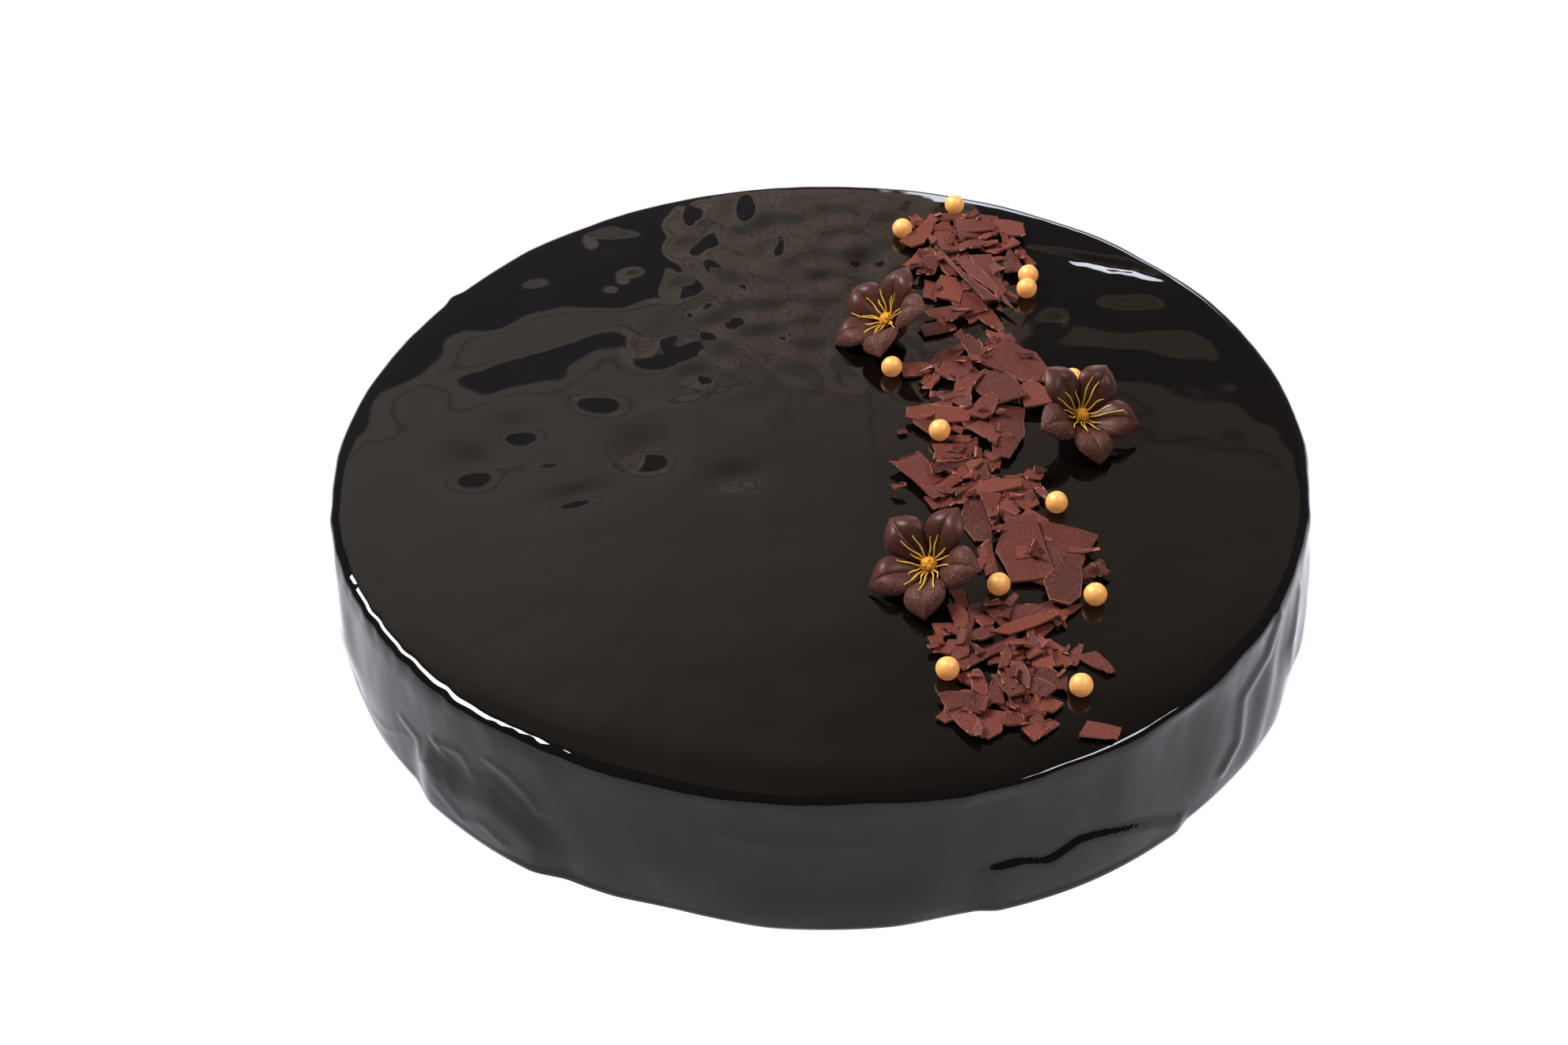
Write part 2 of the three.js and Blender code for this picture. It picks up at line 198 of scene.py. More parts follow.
# %% [markdown]
# ## The camera
#
# The photograph looks down at the cake from about forty degrees, with a short telephoto lens. The
# target, the distance and the focal length were found by laying the rim's ellipse over the photograph.

# %% Camera
PHOTO_WIDTH = 1981  # px
FOCAL_PX = 3288  # focal length in pixels of the photograph
TARGET = Vector((-10.2, -5.35, 20)) * MM
DISTANCE = 700 * MM
ELEVATION = 40.6 * DEGREE
bpy.ops.object.camera_add()
camera = bpy.context.object
camera.name = "photo_camera"
away = Vector((0, -math.cos(ELEVATION), math.sin(ELEVATION)))
camera.location = TARGET + away * DISTANCE
camera.rotation_euler = away.to_track_quat("Z", "Y").to_euler()
camera.data.sensor_width = 36
camera.data.lens = FOCAL_PX / PHOTO_WIDTH * camera.data.sensor_width
camera.data.clip_end = 100
bpy.context.scene.camera = camera
print("lens: %.1f mm" % camera.data.lens)

# %% [markdown]
# ## Materials: colours and nodes
#
# Colours are given as sRGB hex values, which a shader needs as linear numbers. A texture's
# scale is how many times its pattern repeats in a metre, so each one is worked out from a real size in
# millimetres.


# %% Helpers for materials
def linear(hex_colour):
    """A colour given as sRGB hex, as the four linear numbers of a shader socket."""
    shares = [int(hex_colour[i : i + 2], 16) / 255 for i in (1, 3, 5)]
    return (*[s / 12.92 if s <= 0.04045 else ((s + 0.055) / 1.055) ** 2.4 for s in shares], 1)


def per_metre(size):
    """Scale of a pattern whose features are this many millimetres apart."""
    return 1 / (size * MM)


def node(tree, kind, settings=None, links=None):
    """Adds a node, sets its sockets and properties by name, and links its sockets."""
    made = tree.nodes.new(kind)
    for name, value in (settings or {}).items():
        if isinstance(name, int) or name in made.inputs:
            made.inputs[name].default_value = value
        else:
            setattr(made, name, value)
    for name, socket in (links or {}).items():
        tree.links.new(socket, made.inputs[name])
    return made


def new_material(name):
    """A material with its principled shader, and the object's coordinates for its patterns."""
    material = bpy.data.materials.new(name)
    material.use_nodes = True
    tree = material.node_tree
    coordinates = node(tree, "ShaderNodeTexCoord").outputs["Object"]
    return material, tree, tree.nodes["Principled BSDF"], coordinates


def give(piece, material, slot_name, *nodes):
    """Dresses a finished piece in its material, hangs it on the root and hides the solids it stands for."""
    piece.data.materials.clear()
    piece.data.materials.append(material)
    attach(piece, "root")
    if nodes:
        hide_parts(*nodes)


# %% [markdown]
# ## Glaze
#
# Mirror glaze is cocoa, sugar, cream and gelatine, poured warm. Set, it is a smooth gel, so black that
# only a trace of brown comes back out of it, with the refractive index of a strong syrup, 1.4. It could
# be made with a clear coat over brown, but one glossy layer gives the same mirror. The gel's skin is
# not quite even, which softens the reflections a little here and there, in patches some millimetres
# across.


# %% Glaze material
CLOUD_OF_COCOA = 25  # how far apart the slightly browner places are
UNEVEN_SKIN = 6  # and the duller ones


def cocoa_mirror_glaze():
    material, tree, shader, coordinates = new_material("cocoa_mirror_glaze")
    noise = {"Scale": per_metre(CLOUD_OF_COCOA), "Detail": 3}
    cloud = node(tree, "ShaderNodeTexNoise", noise, {"Vector": coordinates})
    tone = node(tree, "ShaderNodeMix", {"data_type": "RGBA", 6: linear("#080605"), 7: linear("#0f0a08")})
    tree.links.new(cloud.outputs["Fac"], tone.inputs[0])
    tree.links.new(tone.outputs[2], shader.inputs["Base Color"])
    noise = {"Scale": per_metre(UNEVEN_SKIN), "Detail": 2}
    skin = node(tree, "ShaderNodeTexNoise", noise, {"Vector": coordinates})
    nearly_even = {"To Min": 0.015, "To Max": 0.04}
    gloss = node(tree, "ShaderNodeMapRange", nearly_even, {"Value": skin.outputs["Fac"]})
    tree.links.new(gloss.outputs["Result"], shader.inputs["Roughness"])
    shader.inputs["IOR"].default_value = 1.4
    return material


glaze = cocoa_mirror_glaze()
print("material:", glaze.name)


# %% [markdown]
# ## The glazed cake
#
# The ring gives the cake its round, and the glaze runs over it before it sets. It bulges in soft
# drapes, waves a little at the rim and sags at the foot. A cylinder could be sculpted, but the body is
# turned like a pot: a profile is drawn point by point by extruding a single vertex, and the Screw
# modifier sweeps it once round the axis and merges its ends, which leaves no seam. Then the outline and
# the relief are laid on by formula, as no tool makes waves of a twentieth of a millimetre. Directions
# are in degrees, counterclockwise from the right.

# %% Waves and drapes of the poured outline
# Slow waves: height in mm, waves in a turn, direction of a crest in degrees.
FOOT_WAVES = [(0.4, 1, -70), (1.1, 2, 6)]
RIM_WAVES = [(1.4, 1, 72), (1.6, 2, 39), (0.6, 3, -47), (0.7, 4, 29)]
# Upright drapes: direction at the foot, half width, depth in mm, lean from foot to rim, angles in degrees.
DRAPES = [
    (-46, 4, 0.3, 10),
    (-35, 2.4, 0.8, 8),
    (-27, 4, 0.8, 7),
    (-12, 4, 0.8, 5),
    (8, 5, 0.7, -4),
    (40, 6, 0.8, 6),
    (95, 6, 0.7, -8),
    (150, 4, 1.2, 4),
    (205, 5, 0.8, -6),
    (232, 4, 0.6, 8),
]


def waves(rows, angle):
    """Sum of the slow waves in a direction, in mm."""
    return sum(height * np.cos(count * (angle - crest) * DEGREE) for height, count, crest in rows)


def drapes(angle, rise):
    """How far the drapes stand out, fullest at mid height."""
    fullness = np.sqrt(np.sin(np.pi * np.clip(rise, 0, 1)))
    total = 0
    for foot, half_width, depth, lean in DRAPES:
        apart = (angle - foot - lean * rise + 180) % 360 - 180
        total = total + depth * np.exp(-((apart / half_width) ** 2)) * fullness
    return total


def side_radius(angle, rise):
    """Radius of the glazed side, from the foot (rise 0) to the rim (rise 1)."""
    foot = FOOT_RADIUS + waves(FOOT_WAVES, angle)
    rim = RIM_RADIUS + waves(RIM_WAVES, angle)
    blend = ramp(0, 1, rise)
    return foot + (rim - foot) * blend + drapes(angle, rise)


# %% [markdown]
# ### Sags at the foot
#
# Low on the side the glaze gathered in thicker sheets before it set, and drew back between them. The
# upper edge of a sheet is a soft step, which the mirror shows as a dark wavy line. Each sheet is a
# stretch of directions with such an edge, so it is laid on as a smooth step in height between two
# smooth ends.

# %% Sags
# First and last direction and softness of the ends in degrees, thickness and softness of the upper edge in
# mm, and that wavy edge as points (direction, height). A sheet of negative thickness is a hollow.
SAGS = [
    ((-139.5, -120.5, 2.5, 2.2, 5), [(-143, 12), (-138, 17), (-134, 14), (-128, 19), (-121, 12)]),
    (
        (-73, -48, 1.5, 1.35, 1.15),
        [
            (-76, 13),
            (-72, 14.5),
            (-69.5, 14.5),
            (-66, 11.5),
            (-62.5, 15),
            (-59, 13.5),
            (-55, 11),
            (-52, 8),
            (-49, 4),
        ],
    ),
    ((-99, -80, 4, 1.2, 6), [(-100, 9), (-80, 11)]),
    ((-25, -16, 4, -1.3, 9), [(-25, 14), (-16, 14)]),
    ((-13, -4, 4, -0.9, 9), [(-13, 14), (-4, 14)]),
    ((-111, -104, 3, -0.7, 6), [(-111, 9), (-104, 9)]),
    ((-164, -152, 4, -0.7, 6), [(-164, 9), (-152, 9)]),
]


def sags(angle, z):
    """How far the sheets of glaze stand out, in mm."""
    total = 0
    for (first, last, soft, thick, blur), edge in SAGS:
        ends = ramp(first - soft, first + soft, angle) * ramp(last + soft, last - soft, angle)
        level = np.interp(angle, [point[0] for point in edge], [point[1] for point in edge])
        total = total + thick * ends * ramp(level + blur, level - blur, z)
    return total


# %% [markdown]
# ### The turned body
#
# The profile is drawn finely where the mirror needs it, at the rim and on the outer top, and coarser
# near the middle, where the turn's steps lie close together anyway.

# %% The lathe profile
AROUND = 640  # steps of the turn
SIDE_STEPS = 46  # steps up the side
RIM_STEPS = 8  # and over the rounding of the rim
RING_STEP = 1.25  # distance between rings on the outer top
INNER_RING_STEP = 2.6  # and near the middle
INNER_RADIUS = 38
BASE_RING = 0.6  # radius of the one ring on the base, as a share of the rim's
SIDE_FOOT = 0.5  # height of the side's first ring


def glaze_profile():
    """Points (radius, height) from the middle of the base, up the side and over the rim to the middle."""
    points = [(0, 0), (RIM_RADIUS * BASE_RING, 0), (RIM_RADIUS - FOOT_ROUNDING, 0)]
    side = SIDE_TOP - SIDE_FOOT
    points += [(RIM_RADIUS, SIDE_FOOT + side * i / SIDE_STEPS) for i in range(SIDE_STEPS + 1)]
    for i in range(1, RIM_STEPS + 1):
        turn = i / RIM_STEPS * math.pi / 2
        inset = RIM_ROUNDING * (1 - math.cos(turn))
        points.append((RIM_RADIUS - inset, SIDE_TOP + RIM_ROUNDING * math.sin(turn)))
    for outer, inside, step in ((INNER_EDGE, INNER_RADIUS, RING_STEP), (INNER_RADIUS, 0, INNER_RING_STEP)):
        rings = round((outer - inside) / step)
        points += [(outer + (inside - outer) * i / rings, CAKE_HEIGHT) for i in range(1, rings + 1)]
    return points


print("points of the profile:", len(glaze_profile()))


# %% Turn the body
def turned_body():
    """The plain turned body, before its relief."""
    profile = glaze_profile()
    body = start("glazed_cake", bpy.ops.mesh.primitive_plane_add, size=1 * MM)
    bpy.ops.object.mode_set(mode="EDIT")
    bpy.ops.mesh.merge(type="CENTER")
    bpy.ops.transform.translate(value=(profile[0][0] * MM, 0, profile[0][1] * MM))
    for before, after in zip(profile, profile[1:]):
        step = ((after[0] - before[0]) * MM, 0, (after[1] - before[1]) * MM)
        bpy.ops.mesh.extrude_region_move(TRANSFORM_OT_translate={"value": step})
    bpy.ops.object.mode_set(mode="OBJECT")
    modify(body, "SCREW", steps=AROUND, render_steps=AROUND, use_merge_vertices=True)
    outward(body)
    return body


# %% [markdown]
# ### Relief of the mirror
#
# Under the lamps the top shows four kinds of relief: a slow swell over hands' breadths, a hammered
# patch towards the back where the glaze set over frost, single round dimples, each a few millimetres
# across, and fine wrinkles in a streak at the back right. Bump mapping could fake them, but a mirror
# shows the difference, so they are all in the mesh, though hardly one is deeper than half a millimetre.
# The random relief is a sum of plane waves from all sides: unlike noise it has one even size, as the
# skin of a liquid has.


# %% Ripples
PLANE_WAVES = 24


def ripples(points, size, seed):
    """Smooth, even, random relief of height 1: plane waves of about this length in mm, from all sides."""
    draw = random_stream(seed)
    total = 0
    for i in range(PLANE_WAVES):
        turn = 2 * math.pi * (i + draw()) / PLANE_WAVES
        length = size * (0.7 + 0.6 * draw())
        phase = 2 * math.pi * draw()
        crossing = np.array((math.cos(turn), math.sin(turn), draw() - 0.5))
        total = total + np.sin(points @ crossing * 2 * math.pi / length + phase)
    return total / math.sqrt(PLANE_WAVES / 2)


def on_the_side(angle, z):
    """Points on the upright side, where waves are read."""
    return np.stack([np.cos(angle * DEGREE) * RIM_RADIUS, np.sin(angle * DEGREE) * RIM_RADIUS, z], axis=1)


# %% Relief of the top
# Soft round or long swellings and hollows: x, y, long, wide, turn in degrees and height in mm.
HOLLOWS = [
    (-92, -5.5, 9, 9, 15, -0.42),
    (-83, 10.5, 7, 7, 25, -0.32),
    (-47, 2, 8, 9, 0, -0.44),
    (-61, 24.5, 7, 6, 0, -0.22),
    (-23, -10, 7, 5.5, 0, -0.28),
    (-65, -18.5, 9, 4.5, 22, -0.23),
    (-73, -3, 7, 4, 8, -0.11),
    (-35, 26, 8, 3, 15, -0.06),
    (-82, 45, 24, 9, 28, -0.34),
    (-62, 55, 13, 8, 12, -0.16),
    (-43, 50, 13, 8, 55, -0.34),
    (-101, 49, 8, 6, 0, -0.08),
    (-61, 98, 9, 7, 10, -0.5),
    (-83, 74, 7, 6, 0, -0.2),
    (-53, 79, 5, 6, 0, -0.15),
    (-58, 71, 4, 4, 0, -0.09),
    (-118, 14, 10, 12, 0, -0.12),
    (-60, 36, 9, 9, 0, -0.05),
    (-38.5, 75.5, 4.5, 4, 0, -0.2),
    (-27.5, 58.5, 5, 5, 0, -0.3),
    (-21, 101, 4, 5.5, 0, -0.26),
    (-37, 98, 4, 5.5, 0, -0.2),
    (-34, 34, 4.5, 4.5, 0, -0.24),
    (-25, 119, 4, 6, 0, -0.24),
    (1, 114, 5, 5.5, 0, -0.26),
    (-13, 102, 5, 6, 0, -0.24),
    (13, 86, 5, 7.5, 0, -0.26),
    (0, 80, 4.5, 4.5, 0, -0.15),
    (8, 103, 4, 5, 0, -0.18),
    (-14, 50, 4.5, 5, 0, -0.13),
    (80, 46, 30, 8.5, -7, -0.15),
    (89, 63.5, 11, 6, 3, -0.19),
    (66, 58, 5, 5, 0, -0.12),
    (86, 86.5, 17, 2.6, -16.5, -0.7),
    (101, 80, 8, 1.8, -14, -0.3),
]


def top_relief(x, y):
    """Height of the mirror over its plane, in mm."""
    flat = np.stack([x, y, np.zeros_like(x)], axis=1)
    # Where the swell is stronger, where the glaze is hammered and where it is wrinkled.
    back_left = ramp(30, -40, x) * ramp(-20, 40, y)
    hammered = ramp(-48, -36, x) * ramp(60, 25, x) * ramp(15, 55, y)
    wrinkled = np.exp(-(((x - 88) / 15) ** 2) - ((y - 86) / 6) ** 2)
    height = 0.07 * ripples(flat, 95, 3) + (0.012 + 0.02 * back_left) * ripples(flat, 30, 5)
    height += (0.004 + 0.052 * hammered) * ripples(flat, 12.5, 7)
    height += 0.055 * wrinkled * ripples(flat, 5.5, 9)
    for cx, cy, long, wide, turn, rise in HOLLOWS:
        cos, sin = math.cos(turn * DEGREE), math.sin(turn * DEGREE)
        along, across = (x - cx) * cos + (y - cy) * sin, (y - cy) * cos - (x - cx) * sin
        height += rise * np.exp(-((along / long) ** 2) - (across / wide) ** 2)
    return height


print("swellings and hollows of the top:", len(HOLLOWS))

# %% [markdown]
# ### Relief of the side
#
# The side has broad folds where the glaze ran down, finer unevenness between them, and thin runs that
# stand out as beads. A run is a line of points with a rounded bead along it, of the run's own width and
# thickness.

# %% Relief of the side
# Runs of glaze, each a line of points (direction in degrees, height), with its width and thickness in mm.
RUNS = [
    ([(-152, 4), (-147, 8), (-143, 14)], 1, 0.22),
    ([(-143.5, 19), (-140, 17), (-139.5, 12), (-135.5, 18), (-134, 12), (-134.5, 19), (-137, 22)], 1, 0.32),
    ([(-137, 22), (-133, 24), (-131, 19), (-128, 22), (-124, 18)], 1, 0.3),
    ([(-129, 27), (-126, 26), (-123.5, 23), (-122, 19)], 1, 0.28),
    ([(-136, 9), (-132, 4), (-129, 8), (-126, 5)], 1.1, 0.25),
    ([(-28, 37), (-31, 29), (-37, 25), (-38, 13), (-41, 8)], 1.9, 0.75),
    ([(-20, 30), (-24, 20), (-23, 10)], 2.0, 0.6),
    ([(-101, 27), (-94, 25), (-86, 25)], 2.4, 0.22),
]


def run_of_glaze(angle, z, points, width, height):
    """A bead along a line on the side, thick where the line is near."""
    away = np.full_like(z, 1e3)
    for (a0, z0), (a1, z1) in zip(points, points[1:]):
        line = np.array(((a1 - a0) * DEGREE * RIM_RADIUS, z1 - z0))
        px, pz = (angle - a0) * DEGREE * RIM_RADIUS, z - z0
        share = np.clip((px * line[0] + pz * line[1]) / (line @ line), 0, 1)
        away = np.minimum(away, np.hypot(px - share * line[0], pz - share * line[1]))
    return height * np.exp(-((away / width) ** 2))


def side_relief(angle, z):
    """How far the side stands out, in mm."""
    rise = z / CAKE_HEIGHT
    spots = on_the_side(angle, z)
    folds = 0.17 * ripples(spots * (1, 1, 0.5), 34, 11)
    bulges = 0.08 * ripples(spots, 15, 12)
    fine = 0.02 * ripples(spots, 7, 13)
    beads = sum(run_of_glaze(angle, z, *run) for run in RUNS)
    return (folds + bulges + fine + beads) * ramp(0, 0.1, rise) * ramp(1, 0.9, rise)


# %% [markdown]
# ### Rim and foot
#
# Most of the glaze's character is at its rim. Its section is a quarter circle, but tighter at the front
# left and the front right, where it draws the light of the two lamps into thin bright lines. At the left it
# is ragged too and drew back a little. One drip hangs at the back, and at the foot two lips of glaze spread
# on the table. The top falls off softly towards the rim, and a little more where it shows the window.

# %% Shape of the rim
TOP_SOFTNESS = 9  # how far the rim's unevenness reaches over the top
TOLERANCE = 0.01  # of a vertex's place


def tight_rim(radius, z, angle, ragged):
    """How far the rim stands out and up from its round where it shows the lamps, in mm."""
    flank = np.clip(radius - INNER_EDGE, 0, None) / RIM_ROUNDING
    crown = np.clip(z - SIDE_TOP, 0, None) / RIM_ROUNDING
    tight = 1 / np.maximum(flank**3 + crown**3, 0.5) ** (1 / 3) - 1
    on_rounding = (radius > INNER_EDGE + TOLERANCE) & (z > SIDE_TOP + TOLERANCE)
    near_lamps = ragged + 0.9 * bell(angle, -58, 20)
    tight = np.where(on_rounding, tight, 0) * near_lamps * RIM_ROUNDING
    return tight * flank, tight * crown


def uneven_rim(angle, ragged):
    """How far the rim stands out: slow waves, finer ones where it is ragged, and one drip at the back."""
    rim_line = on_the_side(angle, 0 * angle)
    fine = (0.03 + 0.09 * ragged) * ripples(rim_line, 9, 22)
    fine = fine + (0.01 + 0.04 * ragged) * ripples(rim_line, 4.5, 23)
    drip = 1.1 * bell(angle, 145.7, 1.2)
    return 0.16 * ripples(rim_line, 34, 21) + fine + drip


# %% Fall of the top and lips of the foot
RIM_FALL = 0.45  # how far the top falls towards the rim
RIM_FALL_WIDTH = 15  # over this width
RAGGED_FALL_WIDTH = 3.2
WINDOW_FALL_WIDTH = 5.5


def fall_to_rim(angle, inside, ragged):
    """How far the top falls at a distance inside the rim, in mm."""
    fall = RIM_FALL * np.clip(1 - inside / RIM_FALL_WIDTH, 0, 1) ** 2
    fall += RIM_FALL * ragged * np.clip(1 - inside / RAGGED_FALL_WIDTH, 0, 1) ** 2
    before_window = 0.08 + 0.05 * ripples(on_the_side(angle, 0 * angle), 6, 24)
    return fall + bell(angle, 58, 14) * before_window * np.clip(1 - inside / WINDOW_FALL_WIDTH, 0, 1) ** 2


def foot_lips(angle, z):
    """Two low lips of glaze on the table, at the front."""
    return 0.7 * (bell(angle, -118, 14) + bell(angle, -62, 11)) * ramp(1.7, 0.4, z)


# %% Build the glazed cake
def glazed_cake():
    """The turned body with its outline, its relief, its rim and its foot."""
    cake = turned_body()
    x, y, z = places(cake).T
    radius, angle = np.hypot(x, y), np.degrees(np.arctan2(y, x))
    inside = np.clip(RIM_RADIUS - radius, 0, None)
    near_side = ramp(TOP_SOFTNESS, 0, inside)
    ragged = bell(angle, -140, 26)

    outline = side_radius(angle, np.clip(z / SIDE_TOP, 0, 1)) - RIM_RADIUS
    grown = radius + outline * ramp(90, 0, inside)
    grown += (side_relief(angle, z) + sags(angle, z)) * ramp(8, 0, inside)
    out, up = tight_rim(radius, z, angle, ragged)
    grown += out + ramp(0.85, 0.97, z / CAKE_HEIGHT) * near_side * uneven_rim(angle, ragged)
    z = z + up
    grown -= 0.9 * ragged * np.clip((z - 32) / 8, 0, 1) ** 2 * near_side
    grown += foot_lips(angle, z) * near_side

    x, y = grown * np.cos(angle * DEGREE), grown * np.sin(angle * DEGREE)
    on_top = ramp(CAKE_HEIGHT - 1.5, CAKE_HEIGHT, z)
    z = z + on_top * (top_relief(x, y) * ramp(1, 8, inside) - fall_to_rim(angle, inside, ragged))
    move_to(cake, np.stack([x, y, z], axis=1))
    smooth(cake)
    return cake


cake = glazed_cake()
give(cake, glaze, "glaze", "cake")
print("glazed cake:", len(cake.data.polygons), "faces")

# %% [markdown]
# ## Where the decoration lies
#
# The flowers and the pearls are placed first, as small splinters of chocolate keep clear of them. Each
# place is measured from the middle of the cake, x to the right and y to the back.

# %% Places of pearls and flowers
PEARL_DIAMETER = 5.8
PEARLS = [
    (40.6, 113.6),
    (24.6, 101.1),
    (60.0, 77.5),
    (59.1, 70.9),
    (19.4, 33.9),
    (68.6, 28.4),
    (31.3, 5.9),
    (60.1, -23.9),
    (43.2, -55.4),
    (66.9, -59.2),
    (29.0, -85.7),
    (60.6, -91.4),
]
# x, y, tilt, direction that rises, turn of the petals.
FLOWERS = [(16.6, 49.7, 36, 20, 28), (69.9, 6, 33, 128, 14), (24.5, -54, 36.5, 45, 2)]
print("pearls:", len(PEARLS), "flowers:", len(FLOWERS))

# %% [markdown]
# ## Chocolate shards
#
# Thin chocolate is spread on a sheet, set and broken, and the flakes are strewn in four heaps. They
# could be cut from one sheet by knife cuts, but a flake that starts as a grid of a few cells keeps even
# faces and takes a curl or a twist. Every flake lies where its solid lies, from the same table and the
# same draws.

